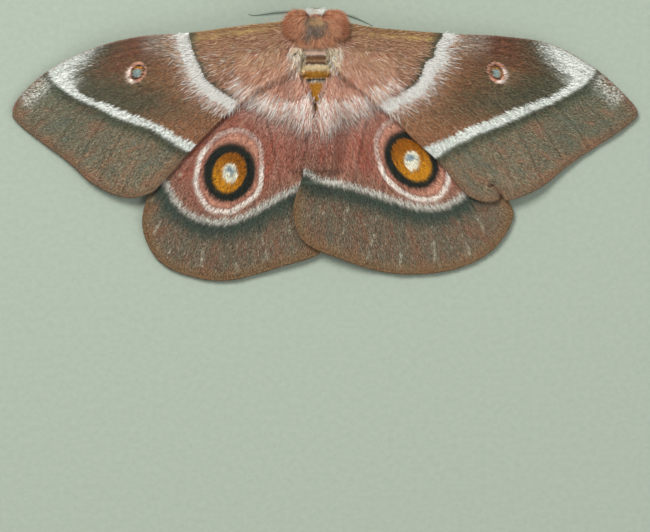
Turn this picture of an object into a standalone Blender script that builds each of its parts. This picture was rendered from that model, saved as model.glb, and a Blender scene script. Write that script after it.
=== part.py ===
"""A mopane moth at rest with its wings spread flat, life size.

The moth faces +Y and rests on the plane z = 0. Sizes below are in millimetres in the moth's own
frame, where x = 0 is the midline and y = 0 is level with the roots of the forewings. The last step
moves the whole moth so that the origin is under the middle of its outline.
"""

import math
import random

import bmesh
import bpy
import numpy as np
from mathutils import Vector
from mathutils.geometry import delaunay_2d_cdt

MM = 0.001
GAP = 0.3
LEFT = -1
RIGHT = 1
UP = Vector((0.0, 0.0, 1.0))

# Driving sizes of the wings
MEMBRANE = 0.5
VEIN_RISE = 0.22
VEIN_HALF_WIDTH = 0.5
VEIN_CLEARANCE = 1.4
EDGE_CLEARANCE = 1.3
LAYER = MEMBRANE + VEIN_RISE + GAP + 0.08
MARGIN_HEIGHT = 0.95
ROOT_HEIGHT = 7.6
REACH_SIDE = 60.0
REACH_BACK = 48.0
SLOPE_POWER = 1.25
OUTLINE_STEP = 2.3
MEMBRANE_STEP = 3.4

# How the wings lie on each other and over the abdomen: (start, end) distances of each change
SLACK = 0.35
DRAPE_CURVE = 9.8
DRAPE_BLEND = 1.1
DRAPE_END = (27.0, 36.0)
DRAPE_END_DROP = 4.0
CROSSING_SIDE = (5.4, 13.0)
CROSSING_BACK = (8.6, 12.4)
FOREWING_SETTLES = (38.5, 50.0)

# Driving sizes of the body: (y, centre height, half width, half height)
THORAX_RINGS = (
    (5.0, 7.0, 1.5, 1.6),
    (4.3, 6.7, 3.0, 2.9),
    (3.1, 6.4, 4.1, 4.0),
    (1.5, 6.3, 4.6, 4.5),
    (-0.5, 6.2, 4.6, 4.5),
    (-2.5, 6.1, 4.3, 4.1),
    (-4.6, 5.8, 3.9, 3.6),
)
ABDOMEN_RINGS = (
    (-4.9, 4.6, 3.7, 3.4),
    (-8.0, 4.1, 4.2, 4.2),
    (-13.0, 3.9, 4.3, 4.3),
    (-18.0, 3.6, 4.0, 4.0),
    (-22.0, 3.1, 3.3, 3.4),
    (-25.0, 2.7, 2.3, 2.7),
    (-27.2, 2.3, 1.1, 1.5),
)
ABDOMEN_SEGMENTS = 8
SEGMENT_GROOVE = 0.16
BODY_SIDES = 20
TEGULA_CENTRE = (3.0, 2.3, 9.0)
TEGULA_RADII = (2.4, 2.7, 1.9)
HEAD_CENTRE = (0.0, 4.3, 4.1)
HEAD_RADII = (2.1, 1.6, 1.9)
EYE_CENTRE = (1.75, 4.75, 4.2)
EYE_RADIUS = 1.05

# Outlines, one point for each turn of the edge: (distance from the midline, y)
FOREWING_LEFT = (
    (3.4, 2.3), (10.2, 2.6), (24.5, 0.95), (34.0, 0.3), (43.5, -2.1), (51.5, -6.1), (56.6, -10.6),
    (58.3, -13.9), (56.6, -16.7), (48.0, -23.2), (42.6, -27.9), (36.6, -30.4), (32.0, -29.7),
    (29.3, -27.5), (23.1, -20.6), (17.0, -14.6), (11.0, -9.6), (3.4, -5.0),
)
FOREWING_RIGHT = (
    (3.4, 2.3), (12.9, 1.65), (25.0, 0.85), (36.0, 0.35), (45.4, -1.1), (53.5, -5.5), (59.4, -10.7),
    (61.7, -14.1), (59.2, -17.0), (49.4, -23.5), (43.3, -28.3), (38.0, -30.7), (33.6, -31.3),
    (30.6, -30.8), (28.0, -29.0), (23.2, -23.4), (18.5, -19.2), (12.0, -12.7), (3.4, -5.0),
)
HINDWING_LEFT = (
    (3.0, -1.4), (10.0, -4.6), (20.0, -13.0), (28.0, -22.5), (32.2, -30.0), (33.3, -36.0),
    (30.8, -41.8), (25.6, -45.0), (17.1, -46.3), (6.2, -43.5), (-1.2, -40.7), (-4.2, -35.0),
    (-2.6, -27.0), (-1.0, -18.0), (0.35, -13.4), (2.2, -10.2), (3.1, -7.0),
)
HINDWING_RIGHT = (
    (3.0, -1.4), (10.0, -4.6), (21.0, -13.0), (31.0, -23.0), (37.0, -31.0), (37.5, -35.2),
    (33.1, -41.1), (25.0, -44.5), (14.5, -44.9), (4.8, -42.2), (-2.5, -38.7), (-4.3, -32.8),
    (-2.5, -26.0), (-1.0, -18.3), (0.35, -13.4), (2.2, -10.2), (3.1, -7.0),
)

# Main veins: (start, middle, end), drawn on the left wings and spread a little for the right ones
FOREWING_VEINS = (
    ((3.6, 1.5), (18.0, 0.6), (33.0, -0.7)),
    ((3.6, 0.7), (30.0, -0.9), (50.5, -7.0)),
    ((24.0, -1.6), (40.0, -4.5), (55.6, -13.0)),
    ((3.6, -0.4), (19.0, -3.5), (33.5, -5.0)),
    ((33.5, -5.0), (43.0, -7.5), (54.0, -17.0)),
    ((34.2, -7.0), (42.5, -11.5), (49.8, -20.4)),
    ((32.5, -9.6), (39.5, -14.5), (45.2, -23.9)),
    ((29.0, -9.7), (35.5, -16.0), (41.2, -27.0)),
    ((22.5, -8.5), (30.0, -16.5), (36.6, -28.8)),
    ((3.6, -1.4), (19.0, -6.8), (32.5, -9.6)),
    ((33.5, -5.0), (34.6, -7.0), (32.5, -9.6)),
    ((3.6, -2.6), (17.0, -9.5), (32.0, -27.8)),
)
HINDWING_VEINS = (
    ((4.2, -3.2), (19.0, -14.5), (31.6, -31.0)),
    ((4.2, -4.2), (20.0, -19.0), (31.2, -37.5)),
    ((18.6, -22.0), (24.0, -29.0), (28.4, -41.8)),
    ((18.2, -25.0), (20.8, -33.0), (22.0, -44.6)),
    ((15.4, -26.0), (16.0, -35.0), (15.2, -44.8)),
    ((12.6, -22.6), (11.4, -33.0), (9.2, -42.8)),
    ((8.8, -15.8), (6.6, -28.0), (4.4, -40.8)),
    ((4.0, -5.4), (10.5, -15.0), (15.4, -26.0)),
    ((3.4, -7.2), (3.2, -22.0), (0.6, -36.6)),
)
RIGHT_VEIN_SPREAD = 1.045
VEIN_POINTS = 7

# Coat of the thorax, from front to back: (y, locks, length at the sides, length on top)
THORAX_ROWS = (
    (3.9, 7, 2.6, 2.6),
    (2.5, 8, 2.8, 2.8),
    (1.1, 8, 2.9, 2.7),
    (-0.4, 8, 3.0, 2.3),
    (-2.0, 8, 3.4, 1.8),
    (-3.4, 7, 4.0, 1.5),
)
THORAX_ROW_ANGLES = (40.0, 140.0)
THORAX_LOCK_WIDTH = 1.2
THORAX_LOCK_SPLAY = 0.8
THORAX_LOCK_CURL = 18.0
TEGULA_ROWS = (0.5, 4.5)
TEGULA_RISE = 1.0
LOCK_THICKNESS = 0.5
COAT_CLEARANCE = 0.6
WING_ROOT_SIDE = (1.3, 2.5)

# A lock from root to tip: (share of its length, share of its width, height over what it lies on)
THORAX_LOCK_SHAPE = ((0.0, 0.8, -0.9), (0.3, 1.0, 0.15), (0.68, 0.75, 0.45), (1.0, 0.0, 0.5))
WING_LOCK_SHAPE = ((0.0, 0.7, -0.12), (0.3, 1.0, 0.16), (0.65, 0.8, 0.2), (1.0, 0.0, 0.12))

# Long hair on the wings: (first root, step to the next, first turn from straight back, step, locks, length)
FOREWING_LOCK_ROWS = (
    ((7.4, 0.6), (0.5, -1.5), 76.0, -9.0, 5, 5.0),
    ((12.0, -1.4), (0.2, -2.4), 66.0, -9.0, 4, 5.0),
)
HINDWING_LOCK_ROWS = (
    ((4.0, -8.2), (0.9, 0.2), 14.0, 8.0, 5, 4.6),
    ((2.7, -12.2), (1.5, 0.2), 8.0, 7.0, 6, 6.2),
    ((2.2, -17.2), (2.0, 0.2), 6.0, 7.0, 4, 6.2),
)
WING_LOCK_WIDTH = 1.2

# Pale ruff over the head
COLLAR_LOCKS = 7
COLLAR_ANGLES = (30.0, 150.0)
COLLAR_ROOT = (0.0, 3.4, 7.0)
COLLAR_RADII = (1.7, 1.9)
COLLAR_LENGTH = 2.1
COLLAR_WIDTH = 1.0
PALP_PATH = ((0.6, 4.9, 3.2), (0.75, 5.6, 2.4), (0.7, 5.9, 1.7))
PALP_RADII = (0.5, 0.45, 0.25)

# Feelers and legs
ANTENNA_ROOT_RADIUS = 0.34
ANTENNA_TIP_RADIUS = 0.12
ANTENNA_BRANCHES = 14
ANTENNA_BRANCH_LENGTH = 0.75
ANTENNA_BRANCH_SHAPE = ((0.0, 0.17, 0.1), (0.5, 0.13, 0.09), (1.0, 0.0, 0.0))
ANTENNA_BRANCH_SWEEP = 0.6
ANTENNA_BARE_ROOT = 0.2
ANTENNA_STEP = 0.9
ANTENNA_LEFT = ((-1.0, 5.0, 5.2), (-3.0, 4.95, 6.0), (-7.7, 4.75, 5.3), (-11.6, 4.4, 3.9), (-12.9, 4.65, 3.3))
ANTENNA_RIGHT = ((1.0, 5.0, 5.2), (3.0, 4.85, 6.0), (6.6, 4.1, 5.6), (9.2, 3.1, 4.9), (10.8, 2.35, 4.4))
LEG_RADII = (0.85, 0.7, 0.5, 0.42, 0.3)
FORE_LEG = ((1.9, 2.6, 3.4), (5.2, 3.0, 3.3), (6.7, 1.9, 0.7), (7.6, 1.2, 0.32), (8.7, 0.4, 0.32))
MID_LEG = ((2.2, -0.2, 3.2), (6.2, -0.5, 3.2), (8.2, -2.6, 0.7), (9.2, -3.6, 0.32), (10.3, -4.8, 0.32))
HIND_LEG = ((2.0, -2.6, 3.2), (5.8, -4.4, 3.0), (7.5, -7.8, 0.7), (8.1, -9.2, 0.32), (8.8, -10.8, 0.32))

# Finishes: (colour, roughness)
FINISHES = {
    "thorax_hair": ((0.42, 0.20, 0.11), 0.9),
    "abdomen_hair": ((0.45, 0.26, 0.10), 0.85),
    "forewing_scales": ((0.19, 0.13, 0.09), 0.8),
    "hindwing_scales": ((0.27, 0.13, 0.09), 0.8),
    "antenna": ((0.06, 0.07, 0.065), 0.4),
    "eye": ((0.02, 0.015, 0.012), 0.2),
    "leg_hair": ((0.23, 0.12, 0.07), 0.8),
}


def clear_scene():
    for obj in list(bpy.data.objects):
        bpy.data.objects.remove(obj)


def make_material(name, colour, roughness):
    material = bpy.data.materials.new(name)
    material.use_nodes = True
    shader = material.node_tree.nodes["Principled BSDF"]
    shader.inputs["Base Color"].default_value = (*colour, 1.0)
    shader.inputs["Roughness"].default_value = roughness
    return material


def make_object(name, points, faces):
    """An object from points in millimetres, with its faces turned outwards."""
    mesh = bpy.data.meshes.new(name)
    mesh.from_pydata([Vector(p) * MM for p in points], [], faces)
    shape = bmesh.new()
    shape.from_mesh(mesh)
    bmesh.ops.recalc_face_normals(shape, faces=shape.faces)
    shape.to_mesh(mesh)
    shape.free()
    obj = bpy.data.objects.new(name, mesh)
    bpy.context.scene.collection.objects.link(obj)
    return obj


def keep_largest_body(mesh):
    """Drops every closed surface but the one with the most volume."""
    shape = bmesh.new()
    shape.from_mesh(mesh)
    bmesh.ops.triangulate(shape, faces=shape.faces)
    left = set(shape.faces)
    bodies = []
    while left:
        body = set()
        edge_front = [left.pop()]
        while edge_front:
            face = edge_front.pop()
            body.add(face)
            for edge in face.edges:
                for other in edge.link_faces:
                    if other in left:
                        left.remove(other)
                        edge_front.append(other)
        bodies.append(body)

    def volume(body):
        total = 0.0
        for face in body:
            a, b, c = (v.co for v in face.verts)
            total += a.dot(b.cross(c)) / 6
        return total

    bodies.sort(key=volume, reverse=True)
    for body in bodies[1:]:
        bmesh.ops.delete(shape, geom=list(body), context="FACES")
    shape.to_mesh(mesh)
    shape.free()


def boolean(base, pieces, operation):
    """Joins the pieces to the base, or cuts them from it, and removes them."""
    group = bpy.data.collections.new(base.name + "_pieces")
    bpy.context.scene.collection.children.link(group)
    for piece in pieces:
        bpy.context.scene.collection.objects.unlink(piece)
        group.objects.link(piece)
    modifier = base.modifiers.new("pieces", "BOOLEAN")
    modifier.operation = operation
    modifier.solver = "MANIFOLD"
    modifier.operand_type = "COLLECTION"
    modifier.collection = group
    bpy.context.view_layer.update()
    evaluated = base.evaluated_get(bpy.context.evaluated_depsgraph_get())
    mesh = bpy.data.meshes.new_from_object(evaluated)
    base.modifiers.clear()
    base.data = mesh
    for piece in pieces:
        bpy.data.objects.remove(piece)
    bpy.data.collections.remove(group)
    keep_largest_body(base.data)
    return base


def finish_node(obj, material):
    """One material over the whole node, with its round parts shaded smooth."""
    obj.data.materials.clear()
    obj.data.materials.append(material)
    for face in obj.data.polygons:
        face.material_index = 0
    obj.data.shade_smooth()
    obj.data.set_sharp_from_angle(angle=math.radians(45))


def smooth_step(low, high, value):
    t = min(1.0, max(0.0, (value - low) / (high - low)))
    return t * t * (3 - 2 * t)


def smooth_curve(points, step, closed=False):
    """Points about one step apart along a Catmull-Rom curve through the given points."""
    pts = [np.array(p, float) for p in points]
    count = len(pts)
    spans = count if closed else count - 1
    out = []
    for i in range(spans):
        if closed:
            before, start, end, after = (pts[(i + k) % count] for k in (-1, 0, 1, 2))
        else:
            start, end = pts[i], pts[i + 1]
            before = pts[i - 1] if i else 2 * start - end
            after = pts[i + 2] if i + 2 < count else 2 * end - start
        pieces = max(1, round(float(np.linalg.norm(end - start)) / step))
        for k in range(pieces):
            t = k / pieces
            out.append(
                0.5
                * (
                    2 * start
                    + (end - before) * t
                    + (2 * before - 5 * start + 4 * end - after) * t * t
                    + (3 * start - before - 3 * end + after) * t**3
                )
            )
    if not closed:
        out.append(pts[-1])
    return out


def inside(x, y, outline):
    """Whether a point is inside a closed outline."""
    found = False
    for (ax, ay), (bx, by) in zip(outline, outline[1:] + outline[:1]):
        if (ay > y) != (by > y) and x < (bx - ax) * (y - ay) / (by - ay) + ax:
            found = not found
    return found


def nearest(x, y, lines):
    """Distance from a point to the nearest of several polylines."""
    best = 1e9
    for line in lines:
        for (ax, ay), (bx, by) in zip(line, line[1:]):
            dx, dy = bx - ax, by - ay
            t = ((x - ax) * dx + (y - ay) * dy) / max(dx * dx + dy * dy, 1e-12)
            t = min(1.0, max(0.0, t))
            best = min(best, math.hypot(x - ax - t * dx, y - ay - t * dy))
    return best


def profile_at(rings, y):
    """Centre height, half width and half height of the body at y."""
    ys = [-ring[0] for ring in rings]
    return tuple(float(np.interp(-y, ys, [ring[k] for ring in rings])) for k in (1, 2, 3))


def back_height(y):
    """Height of the abdomen's back."""
    centre, _, half_height = profile_at(ABDOMEN_RINGS, y)
    return centre + half_height


def rest_height(x, y):
    """Height of the middle of the lowest wing layer: a low tent that is draped over the abdomen."""
    share = 1 - math.hypot(x / REACH_SIDE, (y + 1.0) / REACH_BACK)
    tent = MARGIN_HEIGHT + (ROOT_HEIGHT - MARGIN_HEIGHT) * max(0.0, share) ** SLOPE_POWER
    drape = back_height(y) + GAP + MEMBRANE / 2 + SLACK - x * x / DRAPE_CURVE
    drape -= DRAPE_END_DROP * smooth_step(*DRAPE_END, -y)
    overlap = max(0.0, DRAPE_BLEND - abs(tent - drape))
    return max(tent, drape) + overlap**2 / (4 * DRAPE_BLEND)


def hindwing_lift(side, x, y):
    """The right hindwing lies on the left one where they cross behind the body."""
    if side == LEFT:
        return 0.0
    return LAYER * (1 - smooth_step(*CROSSING_SIDE, x)) * smooth_step(*CROSSING_BACK, -y)


def forewing_lift(side, x, y):
    """A forewing lies on the hindwing, and settles lower beyond the hindwing's edge."""
    return LAYER * (1 - smooth_step(*FOREWING_SETTLES, abs(x))) + hindwing_lift(side, x, y)


def wing_height(lift, side, x, y):
    return rest_height(x, y) + lift(side, x, y)


def vein_curve(start, middle, end, side):
    """A vein as a polyline, in the frame of the moth."""
    spread = RIGHT_VEIN_SPREAD if side == RIGHT else 1.0
    a, b, c = (np.array((side * p[0] * spread, p[1])) for p in (start, middle, end))
    control = 2 * b - (a + c) / 2
    steps = [k / (VEIN_POINTS - 1) for k in range(VEIN_POINTS)]
    return [a * (1 - t) ** 2 + control * 2 * t * (1 - t) + c * t * t for t in steps]


def beside(line, offset):
    """The polyline moved sideways by an offset."""
    out = []
    for i, point in enumerate(line):
        ahead = line[min(i + 1, len(line) - 1)] - line[max(i - 1, 0)]
        ahead = ahead / np.linalg.norm(ahead)
        out.append(point + offset * np.array((-ahead[1], ahead[0])))
    return out


def wing_outline(side, corners):
    """The edge of a wing seen from above, as a closed ring of points."""
    return [tuple(p) for p in smooth_curve([(side * u, v) for u, v in corners], OUTLINE_STEP, closed=True)]


def field_points(ring, centres):
    """Points spread evenly over a wing, clear of its edge and of its veins."""
    border = [ring + ring[:1]]
    low = np.min(ring, axis=0)
    high = np.max(ring, axis=0)
    rows = math.ceil((high[1] - low[1]) / (MEMBRANE_STEP * math.sqrt(3) / 2))
    columns = math.ceil((high[0] - low[0]) / MEMBRANE_STEP)
    points = []
    for row in range(rows):
        for column in range(columns):
            x = low[0] + (column + (row % 2) / 2) * MEMBRANE_STEP
            y = low[1] + row * MEMBRANE_STEP * math.sqrt(3) / 2
            clear = nearest(x, y, centres) > VEIN_CLEARANCE and nearest(x, y, border) > EDGE_CLEARANCE
            if clear and inside(x, y, ring):
                points.append((x, y))
    return points


def wing(name, side, corners, veins, lift):
    """A membrane with its veins raised on the upper face, and the same triangles on both faces."""
    ring = wing_outline(side, corners)
    border = [ring + ring[:1]]
    centres = [vein_curve(*vein, side) for vein in veins]
    points = list(ring)
    edges = [(i, (i + 1) % len(ring)) for i in range(len(ring))]
    for line in centres:
        for track in (line, beside(line, VEIN_HALF_WIDTH), beside(line, -VEIN_HALF_WIDTH)):
            kept = [tuple(p) for p in track if inside(*p, ring) and nearest(*p, border) > VEIN_HALF_WIDTH]
            first = len(points)
            points += kept
            edges += [(first + i, first + i + 1) for i in range(len(kept) - 1)]
    points += field_points(ring, centres)
    flat, _, triangles, _, _, _ = delaunay_2d_cdt([Vector(p) for p in points], edges, [], 1, 1e-5)
    top, bottom = [], []
    for p in flat:
        middle = wing_height(lift, side, p.x, p.y)
        share = max(0.0, 1 - nearest(p.x, p.y, centres) / VEIN_HALF_WIDTH)
        top.append((p.x, p.y, middle + MEMBRANE / 2 + VEIN_RISE * share))
        bottom.append((p.x, p.y, middle - MEMBRANE / 2))
    count = len(flat)
    faces = [tuple(t) for t in triangles] + [tuple(i + count for i in reversed(t)) for t in triangles]
    used = {}
    for t in triangles:
        for a, b in zip(t, [*t[1:], t[0]]):
            used[(a, b)] = True
    for a, b in used:
        if (b, a) not in used:
            faces.append((b, a, a + count, b + count))
    return make_object(name, top + bottom, faces)


def ring_points(y, centre, half_width, half_height):
    """One cross-section of the body, flat where it would pass below the floor."""
    points = []
    for k in range(BODY_SIDES):
        angle = 2 * math.pi * k / BODY_SIDES
        height = centre + half_height * math.sin(angle)
        points.append((half_width * math.cos(angle), y, max(0.0, height)))
    return points


def loft(name, sections):
    """A closed solid through the cross-sections."""
    points, faces = [], []
    for section in sections:
        points += ring_points(*section)
    for i in range(len(sections) - 1):
        for k in range(BODY_SIDES):
            following = (k + 1) % BODY_SIDES
            a = i * BODY_SIDES
            b = a + BODY_SIDES
            faces.append((a + k, a + following, b + following, b + k))
    faces.append(tuple(range(BODY_SIDES)))
    faces.append(tuple(reversed(range(len(points) - BODY_SIDES, len(points)))))
    return make_object(name, points, faces)


def ellipsoid(name, centre, radii, sides=16, rings=8):
    mesh = bpy.data.meshes.new(name)
    shape = bmesh.new()
    bmesh.ops.create_uvsphere(shape, u_segments=sides, v_segments=rings, radius=1.0)
    for vertex in shape.verts:
        vertex.co = Vector(c + r * w for c, r, w in zip(centre, radii, vertex.co)) * MM
    shape.to_mesh(mesh)
    shape.free()
    obj = bpy.data.objects.new(name, mesh)
    bpy.context.scene.collection.objects.link(obj)
    return obj


def grown(sections, by):
    """The sections with every half size, and both ends, larger by an amount."""
    out = [(y, centre, width + by, height + by) for y, centre, width, height in sections]
    out[0] = (out[0][0] + by, *out[0][1:])
    out[-1] = (out[-1][0] - by, *out[-1][1:])
    return out


def tegula(name, side, by=0.0):
    """The rounded shoulder plate over a forewing's root."""
    x, y, z = TEGULA_CENTRE
    return ellipsoid(name, (side * x, y, z), [r + by for r in TEGULA_RADII])


def thorax_core(by=0.0):
    """The bare thorax, or a copy of it grown by an amount, as closed pieces."""
    pieces = [loft("thorax", grown(THORAX_RINGS, by))]
    pieces += [tegula("tegula", side, by) for side in (LEFT, RIGHT)]
    return pieces


def abdomen_sections():
    """Rounded segments with a shallow groove between each two."""
    first = ABDOMEN_RINGS[0][0]
    last = ABDOMEN_RINGS[-1][0]
    sections = []
    for i in range(ABDOMEN_SEGMENTS):
        for share, groove in ((0.0, 1.0), (0.25, 0.15), (0.75, 0.0)):
            y = first + (last - first) * (i + share) / ABDOMEN_SEGMENTS
            centre, width, height = profile_at(ABDOMEN_RINGS, y)
            shrink = groove * SEGMENT_GROOVE
            sections.append((y, centre, width - shrink, height - shrink))
    sections.append(ABDOMEN_RINGS[-1])
    return sections


def tube(name, path, radii, sides=8):
    """A tapered round tube along a path, flat where it would pass below the floor."""
    points, faces = [], []
    for i, (place, radius) in enumerate(zip(path, radii)):
        ahead = Vector(path[min(i + 1, len(path) - 1)]) - Vector(path[max(i - 1, 0)])
        ahead.normalize()
        across = ahead.cross(UP).normalized()
        rise = across.cross(ahead)
        for k in range(sides):
            angle = 2 * math.pi * k / sides
            spot = Vector(place) + radius * (math.cos(angle) * across + math.sin(angle) * rise)
            points.append((spot.x, spot.y, max(0.0, spot.z)))
    for i in range(len(path) - 1):
        a = i * sides
        b = a + sides
        for k in range(sides):
            following = (k + 1) % sides
            faces.append((a + k, a + following, b + following, b + k))
    faces.append(tuple(range(sides)))
    faces.append(tuple(range(len(points) - sides, len(points))))
    return make_object(name, points, faces)


def lock(stations):
    """A flat, tapered lock: each station is (point, half width, half thickness, normal)."""
    points, faces = [], []
    for i, (place, half_width, half_thickness, normal) in enumerate(stations[:-1]):
        place = Vector(place)
        ahead = (Vector(stations[i + 1][0]) - place).normalized()
        normal = Vector(normal).normalized()
        across = ahead.cross(normal).normalized()
        rise = across.cross(ahead)
        points += [
            place - across * half_width,
            place + rise * half_thickness,
            place + across * half_width,
            place - rise * half_thickness,
        ]
    for i in range(len(stations) - 2):
        a = 4 * i
        for k in range(4):
            following = (k + 1) % 4
            faces.append((a + k, a + following, a + 4 + following, a + 4 + k))
    points.append(Vector(stations[-1][0]))
    tip = len(points) - 1
    last = tip - 4
    for k in range(4):
        faces.append((last + k, last + (k + 1) % 4, tip))
    faces.append((0, 1, 2, 3))
    return make_object("lock", points, faces)


def head():
    """The small head, tucked under the front of the thorax, with its two short palps."""
    base = ellipsoid("head", HEAD_CENTRE, HEAD_RADII)
    paths = [[(side * x, y, z) for x, y, z in PALP_PATH] for side in (LEFT, RIGHT)]
    boolean(base, [tube("palp", path, PALP_RADII, 6) for path in paths], "UNION")
    eyes = [ellipsoid("socket", eye_place(side), [EYE_RADIUS + GAP] * 3) for side in (LEFT, RIGHT)]
    return boolean(base, thorax_core(GAP) + eyes, "DIFFERENCE")


def eye_place(side):
    x, y, z = EYE_CENTRE
    return (side * x, y, z)


def eye(side):
    """A round compound eye, cut back where the thorax covers it."""
    obj = ellipsoid("eye_" + side_name(side), eye_place(side), [EYE_RADIUS] * 3)
    return boolean(obj, thorax_core(GAP), "DIFFERENCE")


def side_name(side):
    return "left" if side == LEFT else "right"


def antenna(side, route):
    """A tapered feeler with short branches along both sides."""
    path = [Vector(p) for p in smooth_curve(route, ANTENNA_STEP)]
    last = len(path) - 1
    taper = ANTENNA_TIP_RADIUS - ANTENNA_ROOT_RADIUS
    radii = [ANTENNA_ROOT_RADIUS + taper * i / last for i in range(last + 1)]
    obj = tube("antenna_" + side_name(side), path, radii, 6)
    branches = []
    for i in range(ANTENNA_BRANCHES):
        along = i / (ANTENNA_BRANCHES - 1)
        spot = (ANTENNA_BARE_ROOT + (0.94 - ANTENNA_BARE_ROOT) * along) * last
        low = int(spot)
        root = path[low].lerp(path[low + 1], spot - low)
        ahead = (path[low + 1] - path[max(low - 1, 0)]).normalized()
        outward = ahead.cross(UP).normalized()
        length = ANTENNA_BRANCH_LENGTH * math.sin(math.pi * (0.2 + 0.65 * along))
        for turn in (-1, 1):
            tip = root + (outward * turn + ahead * ANTENNA_BRANCH_SWEEP) * length
            stations = [(root.lerp(tip, t), wide, thick, UP) for t, wide, thick in ANTENNA_BRANCH_SHAPE]
            branches.append(lock(stations))
    boolean(obj, branches, "UNION")
    seat = ellipsoid("seat", HEAD_CENTRE, [r + GAP for r in HEAD_RADII])
    return boolean(obj, [seat] + thorax_core(GAP), "DIFFERENCE")


def leg(name, side, joints):
    """A bent leg with its foot flat on the floor."""
    path = [(side * x, y, z) for x, y, z in joints]
    obj = tube(name + "_leg_" + side_name(side), path, LEG_RADII)
    return boolean(obj, thorax_core(GAP), "DIFFERENCE")


def on_thorax(y, angle):
    """A point of the bare thorax and its normal there. Angle 0 is to the right, 90 is the top."""
    centre, width, height = profile_at(THORAX_RINGS, y)
    c = math.cos(math.radians(angle))
    s = math.sin(math.radians(angle))
    normal = Vector((c / width, 0.0, s / height)).normalized()
    return Vector((width * c, y, centre + height * s)), normal


def lowest_lie(x, y):
    """The lowest height for the middle of a lock of the thorax, over the abdomen or a wing's root."""
    abdomen_top = back_height(y)
    wing_top = wing_height(forewing_lift, RIGHT, x, y) + MEMBRANE / 2 + VEIN_RISE
    surface = abdomen_top + (wing_top - abdomen_top) * smooth_step(*WING_ROOT_SIDE, abs(x))
    return surface + GAP + LOCK_THICKNESS / 2 + COAT_CLEARANCE


def thorax_locks(draw):
    """Locks in rows that part at the midline and sweep back and outwards."""
    locks = []
    first, last = THORAX_ROW_ANGLES
    for y, count, side_length, top_length in THORAX_ROWS:
        for k in range(count):
            angle = first + (last - first) * (k + 0.5) / count + draw.uniform(-3, 3)
            place, normal = on_thorax(y + draw.uniform(-0.3, 0.3), angle)
            steepness = abs(math.cos(math.radians(angle)))
            if TEGULA_ROWS[0] < y < TEGULA_ROWS[1] and steepness > 0.25:
                place += normal * TEGULA_RISE
            lie = Vector((math.copysign(steepness, place.x) * THORAX_LOCK_SPLAY, -1, 0)).normalized()
            lie = (lie - normal * lie.dot(normal)).normalized()
            reach = top_length + (side_length - top_length) * smooth_step(0.1, 0.45, steepness)
            reach *= draw.uniform(0.88, 1.12)
            stations = []
            for t, wide, rise in THORAX_LOCK_SHAPE:
                spot = place + lie * reach * t + normal * (rise - (reach * t) ** 2 / THORAX_LOCK_CURL)
                if t > 0:
                    spot.z = max(spot.z, lowest_lie(spot.x, spot.y))
                stations.append((spot, THORAX_LOCK_WIDTH / 2 * wide, LOCK_THICKNESS / 2, normal))
            locks.append(lock(stations))
    return locks


def collar_locks():
    """The pale ruff in front of the thorax, over the head."""
    locks = []
    first, last = (math.radians(a) for a in COLLAR_ANGLES)
    for k in range(COLLAR_LOCKS):
        angle = first + (last - first) * k / (COLLAR_LOCKS - 1)
        outward = Vector((COLLAR_RADII[0] * math.cos(angle), 0.0, COLLAR_RADII[1] * math.sin(angle)))
        root = Vector(COLLAR_ROOT) + outward
        tip = root + Vector((outward.x * 0.2, COLLAR_LENGTH, -0.25))
        middle = root.lerp(tip, 0.5) + UP * 0.25
        stations = [
            (root, COLLAR_WIDTH * 0.45, LOCK_THICKNESS / 2, UP),
            (middle, COLLAR_WIDTH * 0.5, LOCK_THICKNESS / 2, UP),
            (tip, 0.0, 0.0, UP),
        ]
        locks.append(lock(stations))
    return locks


def thorax():
    pieces = thorax_core()
    base = pieces[0]
    draw = random.Random(13)
    return boolean(base, pieces[1:] + thorax_locks(draw) + collar_locks(), "UNION")


def wing_locks(side, lift, rows, covers, draw):
    """Long locks that lie on a wing's root, point away from the body and stay clear of the covers."""

    def covered(x, y):
        return any(inside(x, y, ring) or nearest(x, y, [ring + ring[:1]]) < 1.0 for ring in covers)

    locks = []
    for (x, y), (step_x, step_y), turn, turn_step, count, length in rows:
        for k in range(count):
            heading = math.radians(turn + turn_step * k + draw.uniform(-5, 5))
            ahead = np.array((side * math.sin(heading), -math.cos(heading)))
            root = np.array((side * (x + step_x * k), y + step_y * k))
            reach = length * draw.uniform(0.9, 1.1)
            stations = []
            for t, wide, rise in WING_LOCK_SHAPE:
                spot = root + ahead * reach * t
                height = wing_height(lift, side, *spot) + MEMBRANE / 2 + rise
                stations.append(((*spot, height), WING_LOCK_WIDTH / 2 * wide, LOCK_THICKNESS / 2, UP))
            if not any(covered(place[0], place[1]) for place, _, _, _ in stations):
                locks.append(lock(stations))
    return locks


def forewing(side, corners):
    """A forewing, with its root cut to fit against the thorax."""
    obj = wing("forewing_" + side_name(side), side, corners, FOREWING_VEINS, forewing_lift)
    locks = wing_locks(side, forewing_lift, FOREWING_LOCK_ROWS, [], random.Random(31 + side))
    boolean(obj, locks, "UNION")
    return boolean(obj, thorax_core(GAP), "DIFFERENCE")


def hindwing(side, corners, covers):
    """A hindwing, with long hair where neither a forewing nor the other hindwing covers it."""
    obj = wing("hindwing_" + side_name(side), side, corners, HINDWING_VEINS, hindwing_lift)
    locks = wing_locks(side, hindwing_lift, HINDWING_LOCK_ROWS, covers, random.Random(51 + side))
    boolean(obj, locks, "UNION")
    return boolean(obj, thorax_core(GAP), "DIFFERENCE")


def centre_on_origin(objects):
    """Moves the moth so that the origin is on the floor under the middle of its outline."""
    corners = np.array([v.co for obj in objects for v in obj.data.vertices])
    low = corners.min(axis=0)
    high = corners.max(axis=0)
    shift = Vector((-(low[0] + high[0]) / 2, -(low[1] + high[1]) / 2, -low[2]))
    for obj in objects:
        for vertex in obj.data.vertices:
            vertex.co += shift


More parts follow.
